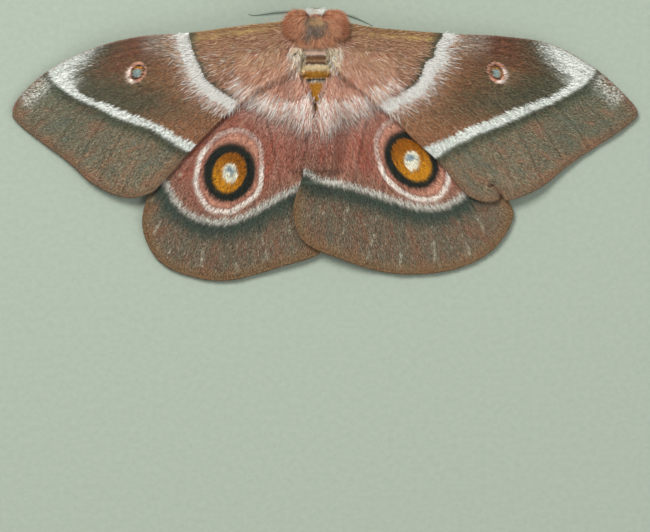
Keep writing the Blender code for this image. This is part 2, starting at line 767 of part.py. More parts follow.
def main():
    clear_scene()
    materials = {name: make_material(name, *look) for name, look in FINISHES.items()}
    nodes = []

    def add(obj, finish):
        finish_node(obj, materials[finish])
        nodes.append(obj)

    add(thorax(), "thorax_hair")
    add(loft("abdomen", abdomen_sections()), "abdomen_hair")
    add(head(), "thorax_hair")
    for side, route in ((LEFT, ANTENNA_LEFT), (RIGHT, ANTENNA_RIGHT)):
        add(eye(side), "eye")
        add(antenna(side, route), "antenna")
        for name, joints in (("fore", FORE_LEG), ("mid", MID_LEG), ("hind", HIND_LEG)):
            add(leg(name, side, joints), "leg_hair")
    left_cover = wing_outline(LEFT, FOREWING_LEFT)
    right_cover = wing_outline(RIGHT, FOREWING_RIGHT)
    add(forewing(LEFT, FOREWING_LEFT), "forewing_scales")
    add(forewing(RIGHT, FOREWING_RIGHT), "forewing_scales")
    crossing = wing_outline(RIGHT, HINDWING_RIGHT)
    add(hindwing(LEFT, HINDWING_LEFT, [left_cover, crossing]), "hindwing_scales")
    add(hindwing(RIGHT, HINDWING_RIGHT, [right_cover]), "hindwing_scales")
    centre_on_origin(nodes)


main()
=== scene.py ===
# %% [markdown]
# A large moth rests with its wings spread flat. The frame holds its solids: the body, the legs, the
# feelers and four stiff wings. This script makes what the eye sees: thin wings under a coat of scales,
# a furry body and long silky hair at the wing roots.

import math

import bpy
import numpy as np
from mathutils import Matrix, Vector
from mathutils.geometry import delaunay_2d_cdt


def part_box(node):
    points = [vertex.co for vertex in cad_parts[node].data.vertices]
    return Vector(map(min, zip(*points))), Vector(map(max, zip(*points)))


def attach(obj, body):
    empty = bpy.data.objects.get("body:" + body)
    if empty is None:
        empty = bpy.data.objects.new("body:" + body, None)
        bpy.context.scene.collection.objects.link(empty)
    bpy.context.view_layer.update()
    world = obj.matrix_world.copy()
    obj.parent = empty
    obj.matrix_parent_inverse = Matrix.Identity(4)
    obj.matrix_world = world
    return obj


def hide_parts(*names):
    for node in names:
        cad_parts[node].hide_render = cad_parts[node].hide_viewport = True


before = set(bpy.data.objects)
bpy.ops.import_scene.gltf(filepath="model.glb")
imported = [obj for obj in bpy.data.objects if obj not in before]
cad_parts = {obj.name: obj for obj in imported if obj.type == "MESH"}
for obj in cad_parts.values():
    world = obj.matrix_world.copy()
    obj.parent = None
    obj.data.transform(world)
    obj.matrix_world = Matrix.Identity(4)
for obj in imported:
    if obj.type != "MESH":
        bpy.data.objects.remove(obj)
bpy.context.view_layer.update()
print("nodes in the frame:", len(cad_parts))

# %% [markdown]
# All sizes are in millimetres in the moth's own frame: x = 0 is the midline, y = 0 is level with the
# roots of the forewings, and the head points to +Y. The abdomen's box says where the frame keeps that
# origin, so every piece lands on the solids without fitting.

# %% The moth's own frame
MM = 0.001
LEFT = -1
RIGHT = 1
ABDOMEN_FRONT = -4.9
WINGSPAN = 120.0
WINGSPAN_PX = 623.0
PIXEL = WINGSPAN / WINGSPAN_PX
MIDLINE_PX = 316.0
ROOT_LINE_PX = 40.0

abdomen_low, abdomen_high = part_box("abdomen")
SHIFT = np.array(
    ((abdomen_low.x + abdomen_high.x) / 2 / MM, abdomen_high.y / MM - ABDOMEN_FRONT, 0.0)
)


def from_photo(points):
    """Places in the photograph, in pixels, as places in the moth's frame."""
    pixels = np.array(points, float)
    return (pixels - (MIDLINE_PX, ROOT_LINE_PX)) * (PIXEL, -PIXEL)


print("millimetres to a pixel:", round(PIXEL, 4))

# %% [markdown]
# A few helpers do the geometry on whole arrays at once: a smooth step, a smooth curve through points,
# the distance to a line and on which side of it a place lies.

# %% Geometry on arrays
FAR = 1e9


def smooth_step(low, high, value):
    t = np.clip((value - low) / (high - low), 0.0, 1.0)
    return t * t * (3 - 2 * t)


def smooth_curve(points, step, closed=False):
    """Points about one step apart along a Catmull-Rom curve through the given points."""
    pts = np.array(points, float)
    if closed:
        padded = np.vstack((pts[-1:], pts, pts[:2]))
    else:
        padded = np.vstack((2 * pts[:1] - pts[1:2], pts, 2 * pts[-1:] - pts[-2:-1]))
    out = []
    for before, start, end, after in zip(padded, padded[1:], padded[2:], padded[3:]):
        t = np.arange(0.0, 1.0, 1.0 / max(1, round(float(np.linalg.norm(end - start)) / step)))[:, None]
        square = (2 * before - 5 * start + 4 * end - after) * t * t
        cube = (3 * start - before - 3 * end + after) * t**3
        out.append(0.5 * (2 * start + (end - before) * t + square + cube))
    return np.vstack(out if closed else out + [pts[-1:]])


def columns(*values):
    """Arrays side by side as columns, with a single number repeated down its own."""
    count = max(len(v) for v in values if np.ndim(v))
    return np.column_stack([v if np.ndim(v) else np.full(count, v) for v in values])


def closed_ring(line):
    return np.vstack((line, line[:1]))


def inside(places, ring):
    """Whether each place is inside a closed ring."""
    x, y = places[:, 0, None], places[:, 1, None]
    (ax, ay), (bx, by) = ring.T, np.roll(ring, -1, axis=0).T
    crosses = (ay > y) != (by > y)
    with np.errstate(divide="ignore", invalid="ignore"):
        reach = (bx - ax) * (y - ay) / (by - ay) + ax
    return (crosses & (x < reach)).sum(axis=1) % 2 == 1


def to_line(places, line):
    """Distance from each place to a polyline, and which side of it the place is on."""
    distance = np.full(len(places), FAR)
    turn = np.ones(len(places))
    for start, end in zip(line, line[1:]):
        along = end - start
        offset = places - start
        t = np.clip(offset @ along / max(along @ along, 1e-12), 0.0, 1.0)
        near = np.linalg.norm(offset - t[:, None] * along, axis=1)
        cross = along[0] * offset[:, 1] - along[1] * offset[:, 0]
        closer = near < distance
        distance = np.where(closer, near, distance)
        turn = np.where(closer, np.sign(cross), turn)
    return distance, turn


def signed(places, line, negative_at, reach=25.0):
    """Distance from a line that runs on past both ends, negative on the side of one place."""

    def beyond(end, next_in):
        return end + (end - next_in) / np.linalg.norm(end - next_in) * reach

    full = np.vstack((beyond(line[0], line[1]), line, beyond(line[-1], line[-2])))
    distance, turn = to_line(places, full)
    _, reference = to_line(np.array([negative_at]), full)
    return -distance * turn * reference


def unit(vectors):
    return vectors / np.maximum(np.linalg.norm(vectors, axis=-1, keepdims=True), 1e-9)


print("a quarter circle of", len(smooth_curve(((1, 0), (0.7, 0.7), (0, 1)), 0.1)), "points")

# %% [markdown]
# The wings lie as a low tent that is draped over the abdomen, the forewings on the hindwings and the
# right hindwing on the left one. These are the same rules as those that shaped the solids.

# %% How the wings lie
ABDOMEN_RINGS = (
    (-4.9, 4.6, 3.7, 3.4),
    (-8.0, 4.1, 4.2, 4.2),
    (-13.0, 3.9, 4.3, 4.3),
    (-18.0, 3.6, 4.0, 4.0),
    (-22.0, 3.1, 3.3, 3.4),
    (-25.0, 2.7, 2.3, 2.7),
    (-27.2, 2.3, 1.1, 1.5),
)
LAYER = 1.10
MARGIN_HEIGHT = 0.95
ROOT_HEIGHT = 7.6
REACH_SIDE = 60.0
REACH_BACK = 48.0
SLOPE_POWER = 1.25
DRAPE_GAP = 0.9
DRAPE_CURVE = 9.8
DRAPE_BLEND = 1.1
DRAPE_END = (27.0, 36.0)
DRAPE_END_DROP = 4.0
CROSSING_SIDE = (5.4, 13.0)
CROSSING_BACK = (8.6, 12.4)
FOREWING_SETTLES = (38.5, 50.0)


def back_height(y):
    ys = [-ring[0] for ring in ABDOMEN_RINGS]
    return np.interp(-y, ys, [ring[1] + ring[3] for ring in ABDOMEN_RINGS])


def rest_height(x, y):
    share = np.maximum(0.0, 1 - np.hypot(x / REACH_SIDE, (y + 1.0) / REACH_BACK))
    tent = MARGIN_HEIGHT + (ROOT_HEIGHT - MARGIN_HEIGHT) * share**SLOPE_POWER
    drape = back_height(y) + DRAPE_GAP - x * x / DRAPE_CURVE
    drape = drape - DRAPE_END_DROP * smooth_step(*DRAPE_END, -y)
    overlap = np.maximum(0.0, DRAPE_BLEND - np.abs(tent - drape))
    return np.maximum(tent, drape) + overlap**2 / (4 * DRAPE_BLEND)


def hindwing_lift(side, x, y):
    if side == LEFT:
        return np.zeros_like(x)
    return LAYER * (1 - smooth_step(*CROSSING_SIDE, x)) * smooth_step(*CROSSING_BACK, -y)


def forewing_lift(side, x, y):
    return LAYER * (1 - smooth_step(*FOREWING_SETTLES, np.abs(x))) + hindwing_lift(side, x, y)


print("root and margin heights:", ROOT_HEIGHT, MARGIN_HEIGHT)

# %% [markdown]
# Each wing has an outline with one point for each turn of its edge, and the veins fan out from its
# root. The markings are lines and rings too: two pale lines and a small eyespot on each forewing, a
# pale line and a large ringed eyespot on each hindwing. They are placed by pixels of the photograph.

# %% Outlines and veins
OUTLINES = {
    "forewing_left": (
        (3.4, 2.3), (10.2, 2.6), (24.5, 0.95), (34.0, 0.3), (43.5, -2.1), (51.5, -6.1), (56.6, -10.6),
        (58.3, -13.9), (56.6, -16.7), (48.0, -23.2), (42.6, -27.9), (36.6, -30.4), (32.0, -29.7),
        (29.3, -27.5), (23.1, -20.6), (17.0, -14.6), (11.0, -9.6), (3.4, -5.0),
    ),
    "forewing_right": (
        (3.4, 2.3), (12.9, 1.65), (25.0, 0.85), (36.0, 0.35), (45.4, -1.1), (53.5, -5.5), (59.4, -10.7),
        (61.7, -14.1), (59.2, -17.0), (49.4, -23.5), (43.3, -28.3), (38.0, -30.7), (36.2, -30.9),
        (35.5, -30.0), (34.8, -30.9), (33.2, -31.3), (30.6, -30.8), (28.0, -29.0), (23.2, -23.4),
        (18.5, -19.2), (12.0, -12.7), (3.4, -5.0),
    ),
    "hindwing_left": (
        (3.0, -1.4), (10.0, -4.6), (20.0, -13.0), (28.0, -22.5), (32.2, -30.0), (33.3, -36.0),
        (30.8, -41.8), (25.6, -45.0), (17.1, -46.3), (6.2, -43.5), (-1.2, -40.7), (-4.2, -35.0),
        (-2.6, -27.0), (-1.0, -18.0), (0.35, -13.4), (2.2, -10.2), (3.1, -7.0),
    ),
    "hindwing_right": (
        (3.0, -1.4), (10.0, -4.6), (21.0, -13.0), (31.0, -23.0), (37.0, -31.0), (37.5, -35.2),
        (33.1, -41.1), (25.0, -44.5), (14.5, -44.9), (4.8, -42.2), (-2.5, -38.7), (-4.3, -32.8),
        (-2.5, -26.0), (-1.0, -18.3), (0.35, -13.4), (2.2, -10.2), (3.1, -7.0),
    ),
}
COSTA_CORNERS = 8
FOREWING_VEINS = (
    ((3.6, 1.5), (18.0, 0.6), (33.0, -0.7)),
    ((3.6, 0.7), (30.0, -0.9), (50.5, -7.0)),
    ((24.0, -1.6), (40.0, -4.5), (55.6, -13.0)),
    ((3.6, -0.4), (19.0, -3.5), (33.5, -5.0)),
    ((33.5, -5.0), (43.0, -7.5), (54.0, -17.0)),
    ((34.2, -7.0), (42.5, -11.5), (49.8, -20.4)),
    ((32.5, -9.6), (39.5, -14.5), (45.2, -23.9)),
    ((29.0, -9.7), (35.5, -16.0), (41.2, -27.0)),
    ((22.5, -8.5), (30.0, -16.5), (36.6, -28.8)),
    ((3.6, -1.4), (19.0, -6.8), (32.5, -9.6)),
    ((33.5, -5.0), (34.6, -7.0), (32.5, -9.6)),
    ((3.6, -2.6), (17.0, -9.5), (32.0, -27.8)),
)
HINDWING_VEINS = (
    ((4.2, -3.2), (19.0, -14.5), (31.6, -31.0)),
    ((4.2, -4.2), (20.0, -19.0), (31.2, -37.5)),
    ((18.6, -22.0), (24.0, -29.0), (28.4, -41.8)),
    ((18.2, -25.0), (20.8, -33.0), (22.0, -44.6)),
    ((15.4, -26.0), (16.0, -35.0), (15.2, -44.8)),
    ((12.6, -22.6), (11.4, -33.0), (9.2, -42.8)),
    ((8.8, -15.8), (6.6, -28.0), (4.4, -40.8)),
    ((4.0, -5.4), (10.5, -15.0), (15.4, -26.0)),
    ((3.4, -7.2), (3.2, -22.0), (0.6, -36.6)),
)
RIGHT_VEIN_SPREAD = 1.045
print("veins on a forewing and a hindwing:", len(FOREWING_VEINS), len(HINDWING_VEINS))

# %% Lines and rings of the pattern, in pixels of the photograph
PATTERN_PX = {
    "forewing_left": {
        "ante": (
            (190, 30), (190.5, 36), (193.6, 50.5), (200, 65), (207, 80), (219, 90.5), (233.6, 99), (243, 104),
        ),
        "post_in": (
            (94, 44), (83, 58), (72, 69), (71, 78), (80, 90), (94.7, 98.9), (109.4, 103), (126.3, 110.5),
            (143, 116.8), (155.7, 122), (168.4, 127.3), (179, 134.7), (197.8, 143),
        ),
        "post_out": (
            (49, 70), (54.7, 81), (63, 88.4), (73.7, 95.5), (84, 101), (94.7, 105.5), (106, 111.5),
            (126, 120.5), (143, 126), (156, 131), (170, 139.4), (179, 146), (193, 153),
        ),
        "spot": (139.8, 73.4),
    },
    "forewing_right": {
        "ante": (
            (443, 30), (441, 38), (434.5, 48), (432, 59), (424.5, 64), (421, 74), (413, 86.5), (397, 95),
            (381, 102.5), (374, 106),
        ),
        "post_in": (
            (544, 42), (553, 58), (564, 70), (570, 79), (551.5, 93.7), (530.5, 102), (509.4, 109.4),
            (488.4, 118.9), (467.3, 126.3), (446.3, 136.8), (424, 146),
        ),
        "post_out": (
            (597, 66), (592, 75), (585, 83.5), (574, 90), (553, 102), (532, 111), (511, 120.5), (490, 129.5),
            (474, 135), (465, 140.5), (447.5, 148.5), (436, 157),
        ),
        "spot": (494.2, 73.5),
    },
    "hindwing_left": {
        "ante": ((246, 68), (258.6, 83.2), (272.9, 94), (287, 102), (303, 107), (316, 112)),
        "post": (
            (158, 168), (166, 183), (174.7, 198), (185, 210.5), (202, 219), (221, 222), (242, 217.8),
            (263, 207), (284, 194.7), (303, 186),
        ),
        "ring": (
            (239.7, 131), (221.8, 136.1), (207.8, 149.5), (199.5, 164.8), (196.3, 181.4), (199.5, 194.2),
            (209.1, 208.2), (221.8, 212), (233.3, 211.4), (247.3, 201.8), (258.8, 189.1), (261.4, 171.2),
            (260.7, 148.3), (253.7, 137.4),
        ),
        "spot": (230.5, 172.2),
        "pupil": (231.4, 172.6),
    },
    "hindwing_right": {
        "ante": ((382, 74), (366, 84), (350, 97), (336, 103), (325, 108), (312, 113)),
        "post": (
            (296, 168), (306, 173), (319, 180), (348.7, 186.5), (378, 195), (400, 202.7), (422, 207.8),
            (444, 205.6), (463, 195), (474, 184),
        ),
        "ring": (
            (388, 123), (378, 134.5), (375.7, 145.2), (378.8, 160.5), (384.9, 175.8), (397.1, 189.6),
            (412.5, 198), (427.8, 200.3), (439.2, 196.5), (446.1, 186.5), (448.4, 177.4), (444, 158),
            (430, 133), (406, 120),
        ),
        "spot": (410.3, 159.8),
        "pupil": (410.5, 160.4),
    },
}
FOREWING_SPOT_TILT = {LEFT: -38.0, RIGHT: 38.0}
HINDWING_SPOT_TILT = {LEFT: -20.0, RIGHT: 40.0}
WING_ROOTS = {"forewing": (2.5, 0.5), "hindwing": (2.0, -4.5)}
ANGLE_SPAN = 30.0
RING_STEP = 0.8
MARK_STEP = 0.6


def wing_side(name):
    return LEFT if name.endswith("left") else RIGHT


def is_forewing(name):
    return name.startswith("forewing")


def vein_lines(name):
    """The veins of one wing as polylines."""
    side = wing_side(name)
    spread = RIGHT_VEIN_SPREAD if side == RIGHT else 1.0
    t = np.linspace(0, 1, 12)[:, None]
    lines = []
    for vein in FOREWING_VEINS if is_forewing(name) else HINDWING_VEINS:
        a, b, c = (np.array((side * x * spread, y)) for x, y in vein)
        control = 2 * b - (a + c) / 2
        lines.append(a * (1 - t) ** 2 + control * 2 * t * (1 - t) + c * t * t)
    return lines


def corners(name):
    """The turns of a wing's edge."""
    return np.array(OUTLINES[name]) * (wing_side(name), 1)


def wing_ring(name, step=RING_STEP):
    return smooth_curve(corners(name), step, closed=True)


def wing_root(name):
    x, y = WING_ROOTS[name.split("_")[0]]
    return np.array((wing_side(name) * x, y))


print("wings with a pattern:", len(PATTERN_PX))

# %% [markdown]
# The pattern is worked out once for any set of places on a wing: the distance to each line and ring,
# the distance from the root and around it, and the place beside the eyespot. The membrane and each
# tuft of scales carry these numbers as attributes, and the material turns them into colour. A tuft
# carries the numbers of its root, which gives the lines their feathered edges.

# %% Fields of the pattern
CREASE = np.array(((35.7, -30.6), (35.1, -29.4), (34.2, -28.4), (33.2, -28.0)))
PALE_DOT = (182.0, 174.0)
PUPIL_RADII = (1.45, 1.85)
NO_CREASE_OR_DOT = 9.0


def turned(places, centre, degrees):
    """Places beside a centre, in axes turned by an angle."""
    angle = math.radians(degrees)
    offset = places - centre
    u = offset[:, 0] * math.cos(angle) + offset[:, 1] * math.sin(angle)
    v = -offset[:, 0] * math.sin(angle) + offset[:, 1] * math.cos(angle)
    return u, v


def to_veins(name, places):
    return np.min([to_line(places, line)[0] for line in vein_lines(name)], axis=0)


def wing_fields(name, places):
    """Vectors for each place: distances to lines, place on the wing and beside the eyespot, grain."""
    side = wing_side(name)
    root = wing_root(name)
    marks = {key: from_photo(value) for key, value in PATTERN_PX[name].items()}
    lines = {key: smooth_curve(marks[key], MARK_STEP) for key in marks if key.startswith(("ante", "post"))}
    offset = places - root
    r = np.linalg.norm(offset, axis=1)
    around = np.arctan2(-offset[:, 1], side * offset[:, 0]) * ANGLE_SPAN
    rim, _ = to_line(places, closed_ring(wing_ring(name)))
    ante = signed(places, lines["ante"], root)
    if is_forewing(name):
        costa, _ = to_line(places, smooth_curve(corners(name)[:COSTA_CORNERS], RING_STEP))
        first = (ante, signed(places, lines["post_in"], root), signed(places, lines["post_out"], root))
        u, v = turned(places, marks["spot"], FOREWING_SPOT_TILT[side])
        third = (u * -side, v, costa)
    else:
        ring_line = smooth_curve(marks["ring"], MARK_STEP, closed=True)
        ring, _ = to_line(places, closed_ring(ring_line))
        ring = np.where(inside(places, ring_line), -ring, ring)
        first = (ante, signed(places, lines["post"], root), ring)
        u, v = turned(places, marks["spot"], HINDWING_SPOT_TILT[side])
        third = (u, v, np.linalg.norm((places - marks["pupil"]) / PUPIL_RADII, axis=1))
    crease_or_dot = np.full(len(places), NO_CREASE_OR_DOT)
    if name == "forewing_right":
        crease_or_dot = to_line(places, CREASE)[0]
    if name == "hindwing_left":
        crease_or_dot = np.linalg.norm(places - from_photo([PALE_DOT]), axis=1)
    return {
        "lines": np.column_stack(first),
        "place": np.column_stack((r, around, rim)),
        "spot": np.column_stack(third),
        "grain": columns(to_veins(name, places), 0.5, crease_or_dot),
    }


# %% [markdown]
# A wing is a membrane with its veins raised a little, sagging between them. Its points are an even
# field inside the outline, joined by a Delaunay mesh, and the lower face repeats the upper one.

# %% The membrane of a wing
THICKNESS = 0.24
EDGE_THICKNESS = 0.10
VEIN_RISE = 0.15
VEIN_WIDTH = 0.42
SAG = 0.10
RIPPLE = 0.12
FIELD_STEP = 0.52
CREASE_DEPTH = 0.45
CREASE_WIDTH = 0.5
CREASE_FADE = (32.6, 34.2)


def wing_height(name, places):
    """Height of the middle of the membrane."""
    side = wing_side(name)
    lift = forewing_lift if is_forewing(name) else hindwing_lift
    x, y = places.T
    nearest = to_veins(name, places)
    ridge = VEIN_RISE * np.exp(-((nearest / VEIN_WIDTH) ** 2))
    sag = SAG * smooth_step(0.4, 2.5, nearest)
    height = rest_height(x, y) + lift(side, x, y) + ridge - sag
    if name == "forewing_right":
        distance, turn = to_line(places, CREASE)
        fade = smooth_step(*CREASE_FADE, x)
        height = height - fade * CREASE_DEPTH * np.exp(-((distance / CREASE_WIDTH) ** 2))
        height = height + fade * CREASE_DEPTH * 0.7 * np.exp(-(((distance * turn + 1.1) / 0.7) ** 2))
    return height + RIPPLE * np.sin(0.55 * x + 1.3) * np.sin(0.31 * y + side)


def wing_normals(name, places, step=0.35):
    slopes = [
        (wing_height(name, places + d) - wing_height(name, places - d)) / (2 * step)
        for d in (np.array((step, 0.0)), np.array((0.0, step)))
    ]
    return unit(columns(-slopes[0], -slopes[1], 1.0))


def even_field(ring, step, clearance):
    """Places in staggered rows inside a ring, clear of its edge."""
    low, high = ring.min(axis=0), ring.max(axis=0)
    rows = np.arange(low[1], high[1], step * math.sqrt(3) / 2)
    x, y = np.meshgrid(np.arange(low[0], high[0], step), rows)
    x = x + (np.arange(len(rows)) % 2)[:, None] * step / 2
    places = np.column_stack((x.ravel(), y.ravel()))
    places = places[inside(places, ring)]
    return places[to_line(places, closed_ring(ring))[0] > clearance]


def linked(name, data):
    """A new object in the scene."""
    obj = bpy.data.objects.new(name, data)
    bpy.context.scene.collection.objects.link(obj)
    return obj


def add_fields(mesh, fields):
    """A vector attribute on the points of a mesh for each field."""
    for key, values in fields.items():
        attribute = mesh.attributes.new(key, "FLOAT_VECTOR", "POINT")
        attribute.data.foreach_set("vector", values.astype(np.float32).ravel())


def set_points(mesh, points):
    mesh.vertices.foreach_set("co", ((points + SHIFT) * MM).astype(np.float32).ravel())


def make_piece(name, points, triangles, material, fields=None):
    """An object from points in the moth's frame, with a vector attribute for each field."""
    mesh = bpy.data.meshes.new(name)
    mesh.vertices.add(len(points))
    set_points(mesh, points)
    mesh.loops.add(3 * len(triangles))
    mesh.loops.foreach_set("vertex_index", triangles.astype(np.int32).ravel())
    mesh.polygons.add(len(triangles))
    mesh.polygons.foreach_set("loop_start", np.arange(0, 3 * len(triangles), 3, dtype=np.int32))
    mesh.update(calc_edges=True)
    add_fields(mesh, fields or {})
    mesh.materials.append(material)
    print(name, len(points), "points", len(triangles), "triangles")
    return linked(name, mesh)


def membrane(name, material):
    """A thin sheet of two faces, closed round its edge."""
    ring = wing_ring(name, FIELD_STEP * 0.8)
    places = np.vstack((ring, even_field(ring, FIELD_STEP, FIELD_STEP * 0.6)))
    edges = [(i, (i + 1) % len(ring)) for i in range(len(ring))]
    flat, _, faces, _, _, _ = delaunay_2d_cdt([Vector(p) for p in places], edges, [], 1, 1e-6)
    places = np.array([(p.x, p.y) for p in flat])
    faces = np.array([tuple(f) for f in faces])
    a, b, c = (places[faces[:, k]] for k in range(3))
    area = (b - a)[:, 0] * (c - a)[:, 1] - (b - a)[:, 1] * (c - a)[:, 0]
    faces = np.where((area < 0)[:, None], faces[:, ::-1], faces)
    rim, _ = to_line(places, closed_ring(ring))
    half = (EDGE_THICKNESS + (THICKNESS - EDGE_THICKNESS) * smooth_step(0.0, 1.2, rim)) / 2
    middle = wing_height(name, places)
    points = np.vstack((columns(places, middle + half), columns(places, middle - half)))
    count = len(places)
    sides = np.concatenate((faces[:, (0, 1)], faces[:, (1, 2)], faces[:, (2, 0)]))
    used = {tuple(e) for e in sides}
    border = np.array([e for e in used if (e[1], e[0]) not in used])
    first, second = border.T
    walls = (columns(second, first, first + count), columns(second, first + count, second + count))
    triangles = np.vstack((faces, faces[:, ::-1] + count, *walls))
    fields = {key: np.vstack((v, v)) for key, v in wing_fields(name, places).items()}
    obj = make_piece(name + "_membrane", points, triangles, material, fields)
    obj.data.shade_smooth()
    return obj


# %% [markdown]
# Nodes are written as Python expressions. A small class wraps a socket, so that + or * on it adds a
# Math node, and one method adds any other node with its settings and the values of its sockets.
# Colours are written as they look, in six hexadecimal digits.

# %% Node maths
SHADE_GAIN = 1.15


def linear(code, gain=SHADE_GAIN):
    """A colour written as it looks, made linear, and lighter by what tufts lose in their own shade."""
    parts = [int(code[i : i + 2], 16) / 255 for i in (0, 2, 4)]
    values = [p / 12.92 if p <= 0.04045 else ((p + 0.055) / 1.055) ** 2.4 for p in parts]
    return (*(v * gain / (1 + (gain - 1) * v) for v in values), 1.0)


class Field:
    """A value in a node tree: operators on it add Math nodes."""

    def __init__(self, tree, socket=None):
        self.tree = tree
        self.socket = socket

    def node(self, kind, settings=(), values=(), output=0):
        """Adds a node: its settings first, then the values or links of its sockets."""
        made = self.tree.nodes.new(kind)
        for key, value in dict(settings).items():
            setattr(made, key, value)
        for key, value in dict(values).items():
            for part in value if isinstance(value, list) else [value]:
                if isinstance(part, Field):
                    self.tree.links.new(part.socket, made.inputs[key])
                else:
                    made.inputs[key].default_value = part
        return Field(self.tree, made.outputs[output]) if made.outputs else None

    def maths(self, operation, *values):
        return self.node("ShaderNodeMath", {"operation": operation}, dict(enumerate(values)))

    def __add__(self, other):
        return self.maths("ADD", self, other)

    def __sub__(self, other):
        return self.maths("SUBTRACT", self, other)

    def __rsub__(self, other):
        return self.maths("SUBTRACT", other, self)

    def __mul__(self, other):
        return self.maths("MULTIPLY", self, other)

    def __truediv__(self, other):
        return self.maths("DIVIDE", self, other)

    def __pow__(self, other):
        return self.maths("POWER", self, other)

    def step(self, low, high):
        """0 below one value and 1 above another, smooth between them."""
        values = {"Value": self, "From Min": low, "From Max": high}
        return self.node("ShaderNodeMapRange", {"interpolation_type": "SMOOTHSTEP"}, values)

    def fall(self, low, high):
        """1 below one value and 0 above another."""
        return 1 - self.step(low, high)

    def between(self, low, high, soft):
        return self.step(low - soft, low + soft) * self.fall(high - soft, high + soft)

    def oval(self, other, width, height):
        """How far out a place is in an oval whose edge is at 1."""
        return ((self / width) ** 2 + (other / height) ** 2) ** 0.5

    def xyz(self):
        """The three numbers of a vector."""
        first = self.node("ShaderNodeSeparateXYZ", (), {0: self})
        return [Field(self.tree, out) for out in first.socket.node.outputs]

    def vector(self, x, y, z):
        return self.node("ShaderNodeCombineXYZ", (), {0: x, 1: y, 2: z})

    def attribute(self, name):
        return self.node("ShaderNodeAttribute", {"attribute_name": name}, (), "Vector")

    def object_place(self):
        return self.node("ShaderNodeTexCoord", (), (), "Object")

    def noise(self, place, scale, detail=2.0):
        values = {"Vector": place, "Scale": scale, "Detail": detail, "Roughness": 0.55}
        return self.node("ShaderNodeTexNoise", (), values, "Fac")

    def blend(self, *colours):
        """A colour between two others, by this share."""
        first, second = (linear(c) if isinstance(c, str) else c for c in colours)
        settings = {"data_type": "RGBA", "clamp_factor": True}
        return self.node("ShaderNodeMix", settings, {0: self, 6: first, 7: second}, 2)

    def painted(self, other, mask):
        """This colour, painted over by another where the mask is 1."""
        return mask.blend(self, other)


def new_material(name, roughness, sheen=0.0, specular=0.12):
    """A material, and a field to write its maths on."""
    material = bpy.data.materials.new(name)
    material.use_nodes = True
    inputs = material.node_tree.nodes["Principled BSDF"].inputs
    inputs["Roughness"].default_value = roughness
    inputs["Sheen Weight"].default_value = sheen
    inputs["Sheen Roughness"].default_value = 0.6
    inputs["Specular IOR Level"].default_value = specular
    return material, Field(material.node_tree)


def finish(colour, height=None, distance=0.0001):
    """Joins the colour and the bump to the shader."""
    tree = colour.tree
    inputs = tree.nodes["Principled BSDF"].inputs
    tree.links.new(colour.socket, inputs["Base Color"])
    if height is not None:
        bump = colour.node("ShaderNodeBump", (), {"Height": height, "Distance": distance}, "Normal")
        tree.links.new(bump.socket, inputs["Normal"])


print("node maths ready")

# %% [markdown]
# Scales and hair on a wing run outwards from its root, so the noise that breaks up the colours is
# stretched along that way: a coordinate along the lie and a finer one across it. Both kinds of wing
# start from the same fields. Flecks take single tufts, rays are broad and soft.

# %% What the wings' colours share
OUTER_SPECKS = (
    ("9c5d40", 0.20, 0.50), ("2c3428", 0.17, 0.55), ("687668", 0.22, 0.55), ("b0a88e", 0.04, 0.50),
)
REAR_SPECKS = (
    ("93533a", 0.22, 0.45), ("2e3128", 0.16, 0.50), ("667264", 0.18, 0.45), ("aca58d", 0.03, 0.50),
)
DARK_SPECKS = (
    ("9c5a34", 0.17, 0.55), ("25281b", 0.20, 0.60), ("626c58", 0.12, 0.50), ("b59f84", 0.04, 0.55),
)
WARM_SPECKS = (("b0623a", 0.18, 0.50), ("463222", 0.12, 0.55), ("d9c3a6", 0.09, 0.55))
FIRST_SPECK = 0.1
SPECK_GAP = 0.05
WING_BUMP = 0.00012


class Lie:
    """Fields that follow the lie of a wing's scales."""

    def __init__(self, start, cloud_layer, cloud_scale):
        self.r, self.around, self.rim = start.attribute("place").xyz()
        self.vein, self.luck, self.crease_or_dot = start.attribute("grain").xyz()
        self.streak = self.noise(0.35, 1.6)
        self.fine = self.noise(2.2, 4.5)
        self.cloud = start.noise(start.vector(self.r, self.around, cloud_layer), cloud_scale, 3.0)
        self.jag = (self.streak - 0.5) * 1.5 + (self.fine - 0.5) * 1.1
        self.mix = (self.fine - 0.5) * 1.5 + self.luck * 0.5 + 0.25

    def noise(self, along, across, detail=3.0, layer=0.0):
        """Noise in streaks along the lie of the scales."""
        place = self.r.vector(self.r * along, self.around * across, layer)
        return self.r.noise(place, 1.0, detail)

    def speckled(self, colour, specks):
        """A colour with flecks: each has a colour, the share of tufts that it takes, and a strength."""
        drift = (self.noise(1.1, 2.2, 1.5, 5.0) - 0.5) * 0.5
        pick = self.luck.maths("FRACT", self.luck * 13.7) + drift
        low = FIRST_SPECK
        for code, share, strength in specks:
            colour = colour.painted(code, pick.between(low, low + share, 0.02) * strength)
            low += share + SPECK_GAP
        return colour

    def rayed(self, colour, light, dark, strength):
        """Broad soft rays away from the root: one colour above the mean and another below it."""
        ray = self.noise(0.13, 0.55, 2.5)
        colour = colour.painted(light, ray.step(0.50, 0.66) * strength)
        return colour.painted(dark, ray.fall(0.34, 0.50) * strength)


